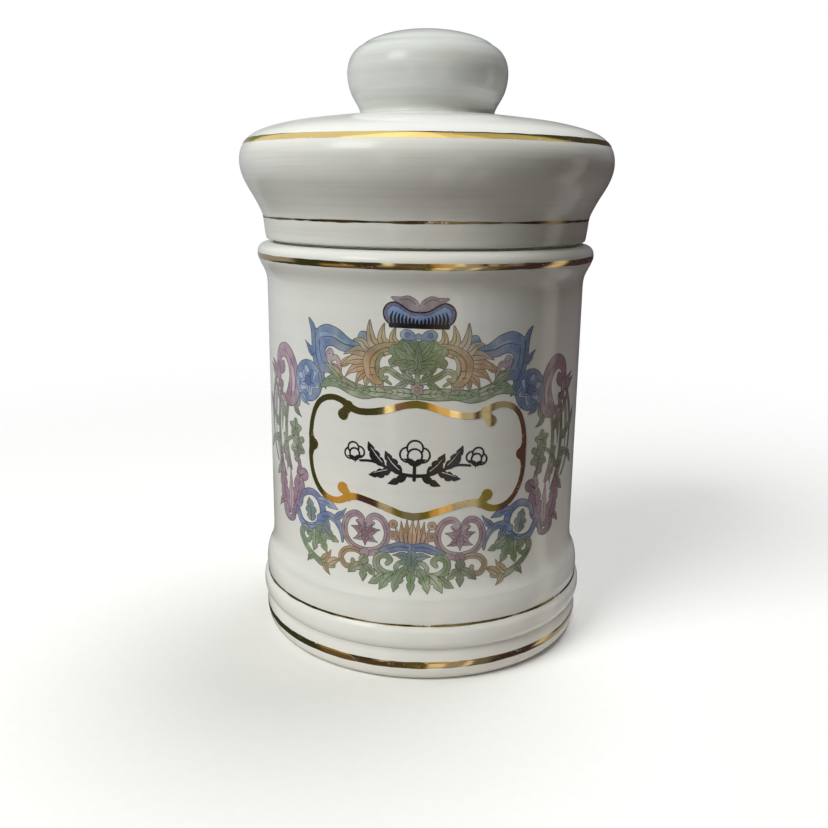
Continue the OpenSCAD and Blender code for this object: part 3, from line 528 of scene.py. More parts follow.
JAR_INNER = walk([(43.4, RIM_TOP), (40.3, RIM_TOP)], spline([(40.3, RIM_TOP), (39.8, RIM_TOP - 0.2), (39.6, RIM_TOP - 0.7)], 4), line((39.6, 109.9), (39.6, 95.5), 3.0),
                 spline([(39.6, 95.5), (39.72, 93.5), (39.9, 91)]), line((39.9, 91), (39.9, 15), 4.0),
                 [(31.9 + 8 * math.cos(math.radians(d)), 14 - 8 * math.sin(math.radians(d)) + (1 - d / 90)) for d in range(5, 91, 5)],
                 line((31.9, 6.0), (0, 6.0), 4.0), line((0, 2.5), (36.2, 2.5), 4.0), spline([(36.2, 2.5), (37.3, 2.42), (38.2, 2.1), (38.7, 1.4), (39.0, 0.6), (39.4, 0)], 5))
JAR = walk(JAR_OUTER, JAR_INNER[:-1], line((39.4, 0), (43.7, 0), 0.8)[:-1])

SKIRT = spline([(43.3, 0), (43.95, 0.25), (44.2, 0.9), (44.4, 2.3), (44.6, 3.9), (44.75, 5.3), (44.8, 6.0)])
FLARE = spline([(44.8, 6.0), (45.2, 7.3), (46.0, 9.0), (47.1, 11.1), (48.4, 13.3), (49.6, 15.6), (50.4, 17.9), (50.7, 20.0), (50.6, 21.9), (50.15, 23.6), (49.3, 25.2),
                (48.1, 26.5), (46.3, 27.7), (43.6, 28.8), (40.0, 29.8), (35.5, 30.7), (30.5, 31.4), (25.0, 32.1), (21.5, 32.5), (19.4, 32.7)])
LID_OUTER = walk(SKIRT, FLARE)
LID_INNER = spline([(33.8, 0.5), (34.6, 3.0), (37.0, 6.0), (40.4, 9.0), (43.4, 12.2), (45.6, 15.6), (46.5, 19.0), (45.9, 22.0), (43.6, 24.2), (39.6, 25.7), (34.0, 26.8),
                    (27.0, 27.7), (20.0, 28.5), (15.0, 29.0)])
LID = walk(LID_OUTER, [(18.6, 32.75), (16.0, 32.75), (14.35, 32.75), (14.2, 32.6), (14.2, 30.8), (14.2, 29.2), (14.35, 29.06)], LID_INNER[::-1], line((33.8, 0.5), (33.8, -11.5), 3.0),
           spline([(33.8, -11.6), (33.92, -12.0), (34.4, -12.2)], 4), [(35.6, -12.2)],
           spline([(36.8, -12.2), (37.4, -12.1), (37.75, -11.85), (37.9, -11.4), (37.75, -10.95), (37.45, -10.68), (37.3, -10.5)], 4), line((37.3, -10.4), (37.3, -0.05), 2.5), [(37.38, 0.0), (40.2, 0.0)])

KNOB_SIDE = spline([(18.2, 0), (18.3, 1.2), (18.95, 2.6), (19.85, 4.1), (20.75, 5.9), (21.35, 8.0), (21.6, 10.3), (21.45, 12.4), (20.9, 14.2), (20.0, 15.7), (18.9, 16.8), (17.8, 17.5)])
KNOB_CROWN = spline([(17.8, 17.5), (16.3, 18.55), (14.4, 19.4), (12.0, 20.2), (9.0, 20.9), (6.0, 21.35), (3.0, 21.6), (0, 21.7)])
KNOB_CAVITY = spline([(10.5, 1.4), (12.4, 3.4), (15.3, 5.9), (17.1, 8.6), (17.2, 11.4), (15.6, 14.0), (12.6, 15.9), (8.5, 17.1), (4.2, 17.6), (0, 17.7)], 5)
# the slip fillet where the knob is luted to the crown
KNOB_TOE = [(18.86, -0.02), (18.66, 0.03), (18.5, 0.12), (18.38, 0.27), (18.31, 0.5), (18.27, 0.8)]
KNOB = walk(KNOB_TOE, [q for q in KNOB_SIDE if q[1] > 0.95], KNOB_CROWN, KNOB_CAVITY[::-1], [(10.6, -2.8), (10.75, -2.9), (13.85, -2.9), (14.08, -2.82), (14.15, -2.6), (14.15, -0.02)])


def fin(z):
    return [(37.98, z - 0.9), (38.28, z - 0.86), (39.2, z - 0.4), (39.42, z - 0.22), (39.5, z - 0.02), (39.44, z + 0.1), (39.25, z + 0.15), (38.7, z + 0.12), (38.28, z + 0.1)]


SEAL = walk([(37.38, -10.1), (37.46, -10.2), (38.18, -10.2), (38.28, -10.1)], *[[(38.28, z - 0.88)] + fin(z)[1:] for z in (-8.8, -6.2, -3.6)],
            [(38.28, -0.9), (38.4, -0.66), (38.7, -0.6), (40.0, -0.6), (41.95, -0.6), (42.12, -0.5), (42.2, -0.3), (42.12, -0.1), (41.95, -0.02), (40.0, -0.02), (37.5, -0.02), (37.38, -0.12)])


def put(name, verts, faces, body, nodes, mats, smooth_faces=True, face_mats=None, sharp=None, normals=None, corner_cols=None):
    """A mesh object in metres that rides on a body and stands for CAD nodes."""
    me = bpy.data.meshes.new(name)
    me.from_pydata([(x * MM, y * MM, z * MM) for x, y, z in verts], [], faces)
    me.polygons.foreach_set("use_smooth", [smooth_faces] * len(me.polygons))
    if face_mats:
        me.polygons.foreach_set("material_index", face_mats)
    if sharp:
        for e in me.edges:
            if tuple(sorted(e.vertices)) in sharp:
                e.use_edge_sharp = True
    if corner_cols:
        layer = me.color_attributes.new("ink", "FLOAT_COLOR", "CORNER")
        layer.data.foreach_set("color", corner_cols)
    if normals:
        me.normals_split_custom_set(normals)
    me.validate()
    me.update()
    o = bpy.data.objects.new(name, me)
    bpy.context.scene.collection.objects.link(o)
    for m in mats:
        me.materials.append(m)
    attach(o, body)
    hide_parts(*nodes)
    return o


def lathe(name, profile, z0, body, nodes, mats, mat_of=None, segs=SEGS, sway=None):
    """Turns a closed profile round the axis. The profile runs up the outside and down the inside."""
    m = len(profile)
    verts, rows = [], []
    for r, z in profile:
        if r < 1e-6:
            rows.append([len(verts)] * segs)
            verts.append((0.0, 0.0, z + z0))
        else:
            rows.append(list(range(len(verts), len(verts) + segs)))
            for k in range(segs):
                t = 2 * math.pi * k / segs
                q = sway(r, z, t) if sway else (r, z)
                verts.append((q[0] * math.sin(t), -q[0] * math.cos(t), q[1] + z0))
    faces, fm = [], []
    for i in range(m):
        a, b = rows[i], rows[(i + 1) % m]
        if a[0] == a[1] and b[0] == b[1]:
            continue
        mat = mat_of(profile[i], profile[(i + 1) % m]) if mat_of else 0
        for k in range(segs):
            l = (k + 1) % segs
            if a[0] == a[1]:
                f = (a[0], b[l], b[k])
            elif b[0] == b[1]:
                f = (a[k], a[l], b[0])
            else:
                f = (a[k], a[l], b[l], b[k])
            faces.append(f)
            fm.append(mat)
    sharp = set()
    for i in range(m):
        p, q, s = profile[i - 1], profile[i], profile[(i + 1) % m]
        if q[0] < 1e-6:
            continue
        a1, a2 = math.atan2(q[1] - p[1], q[0] - p[0]), math.atan2(s[1] - q[1], s[0] - q[0])
        if abs((a2 - a1 + math.pi) % (2 * math.pi) - math.pi) > math.radians(38):
            for k in range(segs):
                sharp.add(tuple(sorted((rows[i][k], rows[i][(k + 1) % segs]))))
    return put(name, verts, faces, body, nodes, mats, face_mats=fm, sharp=sharp)


def wave(t, seed, parts=((3, 0.5), (7, 0.3), (17, 0.2), (41, 0.12))):
    """A repeatable wobble round the axis, about -1 to 1."""
    return sum(w * math.sin(k * t + seed * (1.7 + k * 0.61)) for k, w in parts)


def rough(t, seed, f=40.0):
    """Seeded noise round the axis, about -1 to 1."""
    return noise.noise(Vector((math.cos(t) * f / 6.28, math.sin(t) * f / 6.28, seed * 7.31)))


def band(name, outline, z1, z2, z0, body, node, mat, seed, fray=0.10, thin=None, t=0.05, segs=900):
    """A brushed line of gilt on a turned surface, closed all round, with edges that wander a little."""
    pts = [q for q in outline]
    lens = [0.0]
    for a, b in zip(pts, pts[1:]):
        lens.append(lens[-1] + math.hypot(b[0] - a[0], b[1] - a[1]))

    def s_at(z):
        for i in range(len(pts) - 1):
            if pts[i][1] <= z < pts[i + 1][1]:
                return lerp(lens[i], lens[i + 1], (z - pts[i][1]) / (pts[i + 1][1] - pts[i][1]))

    def point(s):
        i = 0
        while i < len(lens) - 2 and lens[i + 1] < s:
            i += 1
        f = (s - lens[i]) / (lens[i + 1] - lens[i])

        def tangent(j):
            a, b = pts[max(0, j - 1)], pts[min(len(pts) - 1, j + 1)]
            return (b[0] - a[0], b[1] - a[1])
        ta, tb = tangent(i), tangent(i + 1)
        d = (lerp(ta[0], tb[0], f), lerp(ta[1], tb[1], f))
        l = math.hypot(*d)
        return (lerp(pts[i][0], pts[i + 1][0], f), lerp(pts[i][1], pts[i + 1][1], f)), (d[1] / l, -d[0] / l)
    s1, s2 = s_at(z1), s_at(z2)
    n = 6
    table = [point(lerp(s1 - 0.6, s2 + 0.6, j / 60)) for j in range(61)]

    def look(s):
        f = (s - s1 + 0.6) / (s2 - s1 + 1.2) * 60
        j = max(0, min(59, int(f)))
        f -= j
        (p, u), (q, v) = table[j], table[j + 1]
        return (lerp(p[0], q[0], f), lerp(p[1], q[1], f)), (lerp(u[0], v[0], f), lerp(u[1], v[1], f))
    verts, faces, normals_v = [], [], []
    for k in range(segs):
        th = 2 * math.pi * k / segs
        lo = s1 + fray * (0.45 * wave(th, seed) + 0.9 * rough(th, seed, 90))
        hi = s2 + fray * (0.45 * wave(th, seed + 3.3) + 0.9 * rough(th, seed + 5, 90))
        if thin:
            g = thin(th)
            c = (lo + hi) / 2
            lo, hi = lerp(c, lo, g), lerp(c, hi, g)
        for j in range(n + 1):
            p, u = look(lerp(lo, hi, j / n))
            h = t * (0.25 if j in (0, n) else 1.0)
            r, z = p[0] + u[0] * h, p[1] + u[1] * h
            verts.append((r * math.sin(th), -r * math.cos(th), z + z0))
        for j in (n, 0):
            p, u = look(lerp(lo, hi, j / n))
            r, z = p[0] - u[0] * 0.03, p[1] - u[1] * 0.03
            verts.append((r * math.sin(th), -r * math.cos(th), z + z0))
    m = n + 3
    sharp = set()
    for k in range(segs):
        l = (k + 1) % segs
        for j in range(m):
            j2 = (j + 1) % m
            faces.append((k * m + j, l * m + j, l * m + j2, k * m + j2))
            if j in (0, n, n + 1, n + 2):
                sharp.add(tuple(sorted((k * m + j, l * m + j))))
    return put(name, verts, faces, body, [node], [mat], sharp=sharp)


def srgb(r, g, b):
    return tuple(((c / 255 + 0.055) / 1.055) ** 2.4 if c > 10 else c / 255 / 12.92 for c in (r, g, b))


# Colour field of the printed wreath: the inks run into each other from place to place
FIELD = [(41, 78, (168, 120, 152)), (45, 72, (158, 124, 150)), (27, 86, (98, 138, 194)), (30.5, 77, (96, 132, 190)), (15, 88, (110, 156, 158)), (11, 83, (202, 156, 96)),
         (18, 82, (196, 150, 104)), (6, 87, (150, 168, 104)), (0, 86, (98, 128, 74)), (5.5, 84.5, (112, 126, 66)), (0, 90.8, (112, 132, 158)), (0, 79, (118, 124, 92)), (40, 62, (132, 146, 112)), (50, 60, (126, 148, 118)),
         (38, 45, (162, 118, 148)), (33, 50, (150, 116, 150)), (32, 41, (92, 112, 170)), (26, 42, (96, 124, 178)), (28, 33, (122, 150, 100)), (22, 30, (134, 142, 104)),
         (12, 40, (152, 118, 132)), (14, 33, (140, 128, 112)), (0, 40, (184, 134, 92)), (0, 36, (86, 122, 188)), (6, 31, (120, 146, 100)), (0, 27, (104, 144, 88)), (12, 76, (134, 152, 120)),
         (22, 77, (124, 150, 128))]
INKS = {"green": (118, 152, 98), "blue": (92, 134, 198), "orange": (206, 158, 98), "mauve": (172, 126, 158), "crest": (104, 150, 206), "label": (30, 28, 32)}
FIELD_LIN = [(x, y, srgb(*c)) for x, y, c in FIELD]
INKS_LIN = {k: srgb(*c) for k, c in INKS.items()}


def field(x, y):
    s, c = 0.0, [0.0, 0.0, 0.0]
    for fx, fy, fc in FIELD_LIN:
        w = 1.0 / ((abs(x) - fx) ** 2 + (y - fy) ** 2 + 6.0) ** 2
        s += w
        for k in range(3):
            c[k] += w * fc[k]
    return [v / s for v in c]


def ink_colour(ink, tone, x, y, op):
    base = INKS_LIN[ink]
    if ink == "label":
        return (base[0], base[1], base[2], 1.0)
    if ink == "crest":
        c = srgb(4, 7, 22) if tone == LINE else srgb(66, 72, 116) if tone < 0 else [lerp(a, b, max(0.0, min(1.0, (y - 93.6) / 4.4))) for a, b in zip(srgb(48, 94, 160), srgb(118, 158, 206))]
        return (c[0], c[1], c[2], 1.0)
    f = field(x, y)
    k = 0.48
    c = [lerp(a, b, k) for a, b in zip(base, f)]
    # wash: lighter and darker places within each shape
    w = noise.noise(Vector((x * 0.45, y * 0.45, op * 0.37)))
    v = noise.noise(Vector((x * 0.11 + 7, y * 0.11, 3.1)))
    if tone == LINE:
        c = [q * (0.27 + 0.08 * w) for q in c]
        c = [lerp(q, g, 0.34) for q, g in zip(c, srgb(66, 58, 58))]
    else:
        g = 0.84 + tone * 1.3 + 0.24 * w + 0.18 * v
        white = srgb(222, 220, 214)
        fade = max(0.0, min(0.5, 0.05 + 0.34 * w + 0.24 * v + tone * 0.8))
        c = [min(0.9, lerp(q * g, wh, fade)) for q, wh in zip(c, white)]
    # painted shade: the print is made darker and browner towards the right side of the wall, where the light falls off
    right_shade = max(0.0, min(1.0, (x - 22.0) / 16.0))
    c = [q * lerp(1.0, h, right_shade) for q, h in zip(c, (0.84, 0.79, 0.72))]
    return (c[0], c[1], c[2], 1.0)


TILT = math.radians(1.2)   # the transfer sits a little clockwise on the wall


def films(art, specs):
    """Every printed shape as closed thin shells on the wall: one planar triangulation gives each spot to the shape painted last."""
    verts, faces, edges = [], [], []
    for poly, ink, tone in art.ops:
        faces.append(list(range(len(verts), len(verts) + len(poly))))
        verts += [Vector((x * math.cos(TILT) + (y - 60) * math.sin(TILT), 60 - x * math.sin(TILT) + (y - 60) * math.cos(TILT))) for x, y in poly]
    x = -57.0
    while x < 57.1:
        edges.append((len(verts), len(verts) + 1))
        verts += [Vector((x + 0.0013, 19.0)), Vector((x + 0.0013, 105.0))]
        x += 1.25
    for y in (23.6, 24.3, 25.0, 25.7, 26.4, 27.1, 27.8, 28.6, 29.4, 98.8, 99.4, 100.0):
        edges.append((len(verts), len(verts) + 1))
        verts += [Vector((-58.0, y + 0.0017)), Vector((58.0, y + 0.0017))]
    co, _, tris, _, _, owners = geometry.delaunay_2d_cdt(verts, edges, faces, 1, 1e-4)
    groups = {}
    for tri, own in zip(tris, owners):
        if not own:
            continue
        op = max(own)
        poly, ink, tone = art.ops[op]
        if ink is None:
            continue
        a, b, c = (co[i] for i in tri)
        s = (b.x - a.x) * (c.y - a.y) - (b.y - a.y) * (c.x - a.x)
        if abs(s) < 1e-9:
            continue
        kind = "line" if tone == LINE and ink not in ("label", "gilt") else "fill"
        groups.setdefault((ink, kind), []).append((tuple(tri) if s > 0 else tuple(tri[::-1]), op))
    for (ink, kind), (name, node, slot, mat, top) in specs.items():
        shell(name, node, mat, top, groups.get((ink, kind), []), co, art)


def wall(y):
    """The wall's radius at height y, and how its face leans: the part of its normal that points up."""
    for a, b in zip(JAR_OUTER, JAR_OUTER[1:]):
        if a[1] <= y < b[1]:
            d = (b[0] - a[0]) / (b[1] - a[1])
            return lerp(a[0], b[0], (y - a[1]) / (b[1] - a[1])), -d / math.hypot(1.0, d)
    return WALL_R, 0.0


def shell(name, node, mat, top, tris, co, art, base=-0.02):
    """The group's triangles as one closed shell each patch, from WALL_R + base to WALL_R + top."""
    parent = list(range(3 * len(tris)))

    def find(i):
        while parent[i] != i:
            parent[i] = parent[parent[i]]
            i = parent[i]
        return i
    half = {}
    for t, (tri, op) in enumerate(tris):
        for k in range(3):
            half[(tri[k], tri[(k + 1) % 3])] = (t, k)
    for (a, b), (t, k) in half.items():
        o = half.get((b, a))
        if o:
            u, j = o
            parent[find(3 * t + k)] = find(3 * u + (j + 1) % 3)
            parent[find(3 * t + (k + 1) % 3)] = find(3 * u + j)
    ids, verts, flat = {}, [], []
    for t, (tri, op) in enumerate(tris):
        for k in range(3):
            r = find(3 * t + k)
            if r not in ids:
                ids[r] = len(flat)
                flat.append((co[tri[k]].x, co[tri[k]].y))
    n = len(flat)
    lean = [wall(y) for x, y in flat]
    for h in (top, base):
        for (x, y), (r, s) in zip(flat, lean):
            th, c = x / WALL_R, math.sqrt(1 - s * s)
            verts.append(((r + h * c) * math.sin(th), -(r + h * c) * math.cos(th), y + h * s))
    faces, cols, normals = [], [], []

    def radial(i, s=1.0):
        th, u = flat[i % n][0] / WALL_R, lean[i % n][1]
        c = math.sqrt(1 - u * u)
        return (s * c * math.sin(th), -s * c * math.cos(th), s * u)
    cache = {}

    def colour(i, op):
        key = (i % n, op)
        if key not in cache:
            poly, ink, tone = art.ops[op]
            cache[key] = (1.0, 1.0, 1.0, 1.0) if ink == "gilt" else ink_colour(ink, tone, flat[i % n][0], flat[i % n][1], op)
        return cache[key]
    for t, (tri, op) in enumerate(tris):
        q = [ids[find(3 * t + k)] for k in range(3)]
        faces.append(tuple(q))
        cols += [c for i in q for c in colour(i, op)]
        normals += [radial(i) for i in q]
        faces.append((q[0] + n, q[2] + n, q[1] + n))
        cols += [c for i in (q[0], q[2], q[1]) for c in colour(i, op)]
        normals += [radial(i, -1.0) for i in (q[0], q[2], q[1])]
        for k in range(3):
            if (tri[(k + 1) % 3], tri[k]) not in half:
                a, b = q[k], q[(k + 1) % 3]
                faces.append((b, a, a + n, b + n))
                cols += [c for i in (b, a, a, b) for c in colour(i, op)]
                dx, dy = flat[b][0] - flat[a][0], flat[b][1] - flat[a][1]
                l = math.hypot(dx, dy) or 1e-9
                th = flat[a][0] / WALL_R
                normals += [((dy / l) * math.cos(th), (dy / l) * math.sin(th), -dx / l)] * 4
    return put(name, verts, faces, "jar", [node] if node else [], [mat], normals=normals, corner_cols=cols)


# ---- materials ----
class Net:
    """A short way to write node trees."""

    def __init__(self, tree):
        self.t = tree
        tree.nodes.clear()

    def add(self, kind, ins=None, **props):
        n = self.t.nodes.new(kind)
        for k, v in props.items():
            setattr(n, k, v)
        for k, v in (ins or {}).items():
            self.put(n.inputs[k], v)
        return n

    def put(self, socket, v):
        if isinstance(v, bpy.types.NodeSocket):
            self.t.links.new(v, socket)
        elif isinstance(v, (tuple, list)) and len(v) == 3 and socket.type == "RGBA":
            socket.default_value = (v[0], v[1], v[2], 1.0)
        else:
            socket.default_value = v

    def math(self, op, a, b=None, c=None, clamp=False):
        n = self.t.nodes.new("ShaderNodeMath")
        n.operation, n.use_clamp = op, clamp
        for i, v in enumerate((a, b, c)):
            if v is not None:
                self.put(n.inputs[i], v)
        return n.outputs[0]

    def span(self, v, a, b, lo=0.0, hi=1.0, smooth=False):
        n = self.add("ShaderNodeMapRange", {0: v, 1: a, 2: b, 3: lo, 4: hi}, clamp=True, interpolation_type="SMOOTHSTEP" if smooth else "LINEAR")
        return n.outputs[0]

    def mix(self, f, a, b, blend="MIX"):
        n = self.t.nodes.new("ShaderNodeMix")
        n.data_type, n.blend_type, n.clamp_factor = "RGBA", blend, True
        self.put(n.inputs[0], f)
        self.put(n.inputs[6], a)
        self.put(n.inputs[7], b)
        return n.outputs[2]

    def noise(self, scale, detail=2.0, rough=0.5, vec=None, warp=0.0):
        n = self.add("ShaderNodeTexNoise", {"Scale": scale, "Detail": detail, "Roughness": rough, "Distortion": warp})
        if vec is not None:
            self.put(n.inputs["Vector"], vec)
        return n.outputs[0]

    def cells(self, scale, vec, feature="F1", rand=1.0):
        return self.add("ShaderNodeTexVoronoi", {"Scale": scale, "Vector": vec, "Randomness": rand}, feature=feature)

    def place(self):
        return self.t.nodes.new("ShaderNodeTexCoord").outputs["Object"]

    def stretch(self, vec, x, y, z):
        return self.add("ShaderNodeMapping", {"Vector": vec, "Scale": (x, y, z)}).outputs[0]

    def split(self, vec):
        return self.add("ShaderNodeSeparateXYZ", {0: vec}).outputs

    def bump(self, height, dist, strength=1.0, normal=None):
        ins = {"Height": height, "Distance": dist, "Strength": strength}
        if normal is not None:
            ins["Normal"] = normal
        return self.add("ShaderNodeBump", ins).outputs[0]


def material(name):
    m = bpy.data.materials.new(name)
    m.use_nodes = True
    net = Net(m.node_tree)
    out = net.add("ShaderNodeOutputMaterial")
    sh = net.add("ShaderNodeBsdfPrincipled")
    net.t.links.new(sh.outputs[0], out.inputs[0])
    return m, net, sh


GLAZE_WHITE = (0.81, 0.808, 0.782)


def glaze_colour(net, p, shade_grooves=(), white=GLAZE_WHITE, rings=1.0):
    """Slightly warm white with cooler and greener places where the glaze is thick, a rare iron speck, and painted
    shade: grey-green lines darkened into the grooves and joints.
    """
    big = net.noise(22.0, 3.0, 0.55, p, 0.4)
    fine = net.noise(170.0, 3.0, 0.6, p)
    c = net.mix(net.span(big, 0.32, 0.68), white, tuple(a * b for a, b in zip(white, (0.955, 0.975, 0.985))))
    c = net.mix(net.span(fine, 0.42, 0.75, 0.0, 0.30), c, tuple(a * b for a, b in zip(white, (0.97, 0.945, 0.90))))
    # faint level streaks where the glaze ran on the turning wheel
    streak = net.noise(1.0, 2.5, 0.6, net.stretch(p, 11.0, 11.0, 620.0), 0.2)
    c = net.mix(net.span(streak, 0.40, 0.72, 0.0, 0.42 * rings, True), c, tuple(a * b for a, b in zip(white, (0.86, 0.855, 0.845))))
    # painted shade: each groove, joint and seam darkened to a grey-green line, as if it lay in shadow
    if shade_grooves:
        z = net.split(p)[2]
        groove_shade = None
        for z0, w, k in shade_grooves:
            d = net.math("DIVIDE", net.math("SUBTRACT", z, z0 * MM), w * MM)
            g = net.math("MULTIPLY", net.math("EXPONENT", net.math("MULTIPLY", net.math("MULTIPLY", d, d), -1.0)), k)
            groove_shade = g if groove_shade is None else net.math("ADD", groove_shade, g)
        wander = net.math("ADD", 0.72, net.math("MULTIPLY", net.noise(60.0, 2.0, 0.5, p), 0.56))
        c = net.mix(net.math("MULTIPLY", groove_shade, wander, clamp=True), c, (0.585, 0.605, 0.575))
    v = net.cells(240.0, p)
    spot = net.math("LESS_THAN", net.math("ADD", v.outputs["Distance"], net.math("MULTIPLY", net.noise(2600.0, 1.0, 0.5, p), 0.02)), 0.036)
    rare = net.math("GREATER_THAN", net.split(v.outputs["Color"])[0], 0.965)
    c = net.mix(net.math("MULTIPLY", net.math("MULTIPLY", spot, rare), 0.62), c, (0.20, 0.145, 0.10))
    haze = net.cells(900.0, p)
    pin = net.math("MULTIPLY", net.math("LESS_THAN", haze.outputs["Distance"], 0.10), net.math("GREATER_THAN", net.split(haze.outputs["Color"])[1], 0.93))
    return net.mix(net.math("MULTIPLY", pin, 0.16), c, (0.50, 0.47, 0.42)), pin


def porcelain(name, shade_grooves=(), white=GLAZE_WHITE, rings=1.0):
    m, net, sh = material(name)
    p = net.place()
    colour, pin = glaze_colour(net, p, shade_grooves, white, rings)
    net.put(sh.inputs["Base Color"], colour)
    smear = net.noise(38.0, 4.0, 0.62, net.stretch(p, 1.0, 1.0, 1.8), 0.8)
    grain = net.noise(900.0, 2.0, 0.5, p)
    net.put(sh.inputs["Roughness"], net.math("ADD", net.span(smear, 0.40, 0.78, 0.075, 0.20), net.math("MULTIPLY", grain, 0.045)))
    sh.inputs["IOR"].default_value = 1.52
    sh.inputs["Specular IOR Level"].default_value = 0.55
    # orange peel, turning rings left under the glaze, pinholes
    peel = net.bump(net.noise(230.0, 2.0, 0.5, p), 0.000022)
    turn = net.bump(net.noise(1.0, 3.0, 0.6, net.stretch(p, 8.0, 8.0, 460.0)), 0.000042 * rings, 1.0, peel)
    slow = net.bump(net.noise(46.0, 1.0, 0.4, p), 0.00011, 1.0, turn)
    holes = net.bump(net.math("MULTIPLY", pin, -1.0), 0.00001, 1.0, slow)
    net.put(sh.inputs["Normal"], holes)
    return m


def biscuit():
    m, net, sh = material("biscuit_foot")
    p = net.place()
    grit = net.noise(1500.0, 4.0, 0.7, p)
    dirt = net.noise(190.0, 5.0, 0.7, p, 0.6)
    c = net.mix(net.span(grit, 0.3, 0.75), (0.72, 0.69, 0.635), (0.60, 0.565, 0.505))
    c = net.mix(net.span(dirt, 0.50, 0.74, 0.0, 0.55), c, (0.36, 0.325, 0.28))
    net.put(sh.inputs["Base Color"], c)
    net.put(sh.inputs["Roughness"], net.span(grit, 0.2, 0.8, 0.80, 0.95))
    net.put(sh.inputs["Normal"], net.bump(grit, 0.00006, 0.9, net.bump(dirt, 0.00008, 0.6)))
    return m


def gilt(name, ring=True, wear=0.5, thin=0.5, dull=0.0, white=GLAZE_WHITE, bright=1.0):
    """Bright burnished gold, brushed on thin: brown where it is starved, gone where it is rubbed."""
    m, net, sh = material(name)
    p = net.place()
    stroke = net.stretch(p, 26.0, 26.0, 2300.0) if ring else net.stretch(p, 420.0, 420.0, 420.0)
    brush = net.noise(1.0, 4.0, 0.6, stroke, 0.3)
    cloud = net.noise(75.0, 4.0, 0.6, p, 0.5)
    grain = net.noise(2600.0, 3.0, 0.65, p)
    gold = net.mix(net.span(cloud, 0.30, 0.70), tuple(c * bright for c in (0.915, 0.735, 0.345)), tuple(c * bright for c in (0.87, 0.66, 0.30)))
    starve = net.math("MULTIPLY", net.span(net.math("ADD", net.math("MULTIPLY", brush, 0.6), net.math("MULTIPLY", cloud, 0.5)), 0.56, 0.78, 0.0, 1.0, True), thin)
    colour = net.mix(starve, gold, (0.42, 0.22, 0.135))
    rub = net.math("ADD", net.math("MULTIPLY", cloud, 0.52), net.math("ADD", net.math("MULTIPLY", grain, 0.26), net.math("MULTIPLY", brush, 0.22)))
    worn = net.span(rub, 0.665 - 0.10 * wear, 0.70 - 0.10 * wear, 0.0, 1.0, True)
    hair = net.noise(1.0, 1.5, 0.5, net.stretch(p, 160.0, 160.0, 900.0), 0.7)
    scratch = net.math("LESS_THAN", net.math("ABSOLUTE", net.math("SUBTRACT", hair, 0.5)), 0.0035)
    nick = net.math("MULTIPLY", scratch, net.math("GREATER_THAN", net.noise(260.0, 2.0, 0.5, p), 0.585))
    gone = net.math("MAXIMUM", worn, net.math("MULTIPLY", nick, 0.8))
    colour = net.mix(gone, colour, tuple(c * 0.95 for c in white))
    net.put(sh.inputs["Base Color"], colour)
    net.put(sh.inputs["Metallic"], net.math("SUBTRACT", 1.0, gone, clamp=True))
    net.put(sh.inputs["Roughness"], net.math("ADD", net.span(brush, 0.30, 0.75, 0.035 + dull, 0.13 + dull), net.math("MULTIPLY", grain, 0.03)))
    net.put(sh.inputs["Normal"], net.bump(brush, 0.000003, 0.8, net.bump(net.noise(150.0, 1.0, 0.4, p), 0.00002, 0.8)))
    return m


def printed(name, grain_k=1.0, gloss=0.14):
    """Ceramic ink under a soft shine: colour from the film's own corners, with the wash, grain and missed spots of a transfer."""
    m, net, sh = material(name)
    p = net.place()
    ink = net.add("ShaderNodeVertexColor", layer_name="ink").outputs[0]
    wash = net.noise(330.0, 4.0, 0.6, p, 0.4)
    dots = net.cells(3600.0, p)
    grain = net.noise(5200.0, 2.0, 0.6, p)
    c = net.mix(net.span(wash, 0.32, 0.70, 0.0, 0.6 * grain_k), ink, (0.84, 0.83, 0.85), "MULTIPLY")
    c = net.mix(net.span(wash, 0.46, 0.80, 0.0, 0.26 * grain_k), c, (0.70, 0.69, 0.655))
    c = net.mix(net.span(dots.outputs["Distance"], 0.20, 0.60, 0.0, 0.16 * grain_k), c, (0.72, 0.71, 0.68))
    c = net.mix(net.span(grain, 0.5, 0.8, 0.0, 0.28 * grain_k), c, net.mix(1.0, c, (0.72, 0.70, 0.72), "MULTIPLY"))
    gap = net.math("GREATER_THAN", net.math("ADD", net.math("MULTIPLY", grain, 0.4), net.math("MULTIPLY", net.noise(900.0, 3.0, 0.6, p), 0.6)), 0.66)
    c = net.mix(net.math("MULTIPLY", gap, 0.5 * grain_k), c, (0.76, 0.75, 0.72))
    net.put(sh.inputs["Base Color"], c)
    net.put(sh.inputs["Roughness"], net.math("ADD", gloss, net.math("MULTIPLY", wash, 0.10)))
    sh.inputs["IOR"].default_value = 1.52
    net.put(sh.inputs["Normal"], net.bump(net.noise(230.0, 2.0, 0.5, p), 0.000022, 1.0, net.bump(grain, 0.0000015, 0.6)))
    return m


def soft_plastic():
    m, net, sh = material("seal_plastic")
    p = net.place()
    cloud = net.noise(60.0, 4.0, 0.6, p, 0.4)
    grain = net.noise(1800.0, 3.0, 0.6, p)
    c = net.mix(net.span(cloud, 0.3, 0.7), (0.80, 0.795, 0.76), (0.735, 0.72, 0.66))
    c = net.mix(net.span(net.noise(260.0, 4.0, 0.7, p), 0.58, 0.80, 0.0, 0.30), c, (0.50, 0.46, 0.39))
    net.put(sh.inputs["Base Color"], c)
    net.put(sh.inputs["Roughness"], net.math("ADD", 0.36, net.math("MULTIPLY", grain, 0.16)))
    sh.inputs["IOR"].default_value = 1.48
    sh.inputs["Subsurface Weight"].default_value = 0.15
    sh.inputs["Subsurface Radius"].default_value = (0.8, 0.7, 0.6)
    sh.inputs["Subsurface Scale"].default_value = 0.001
    net.put(sh.inputs["Normal"], net.bump(grain, 0.000012, 0.7, net.bump(net.noise(300.0, 2.0, 0.5, p), 0.00004, 0.7)))
    return m
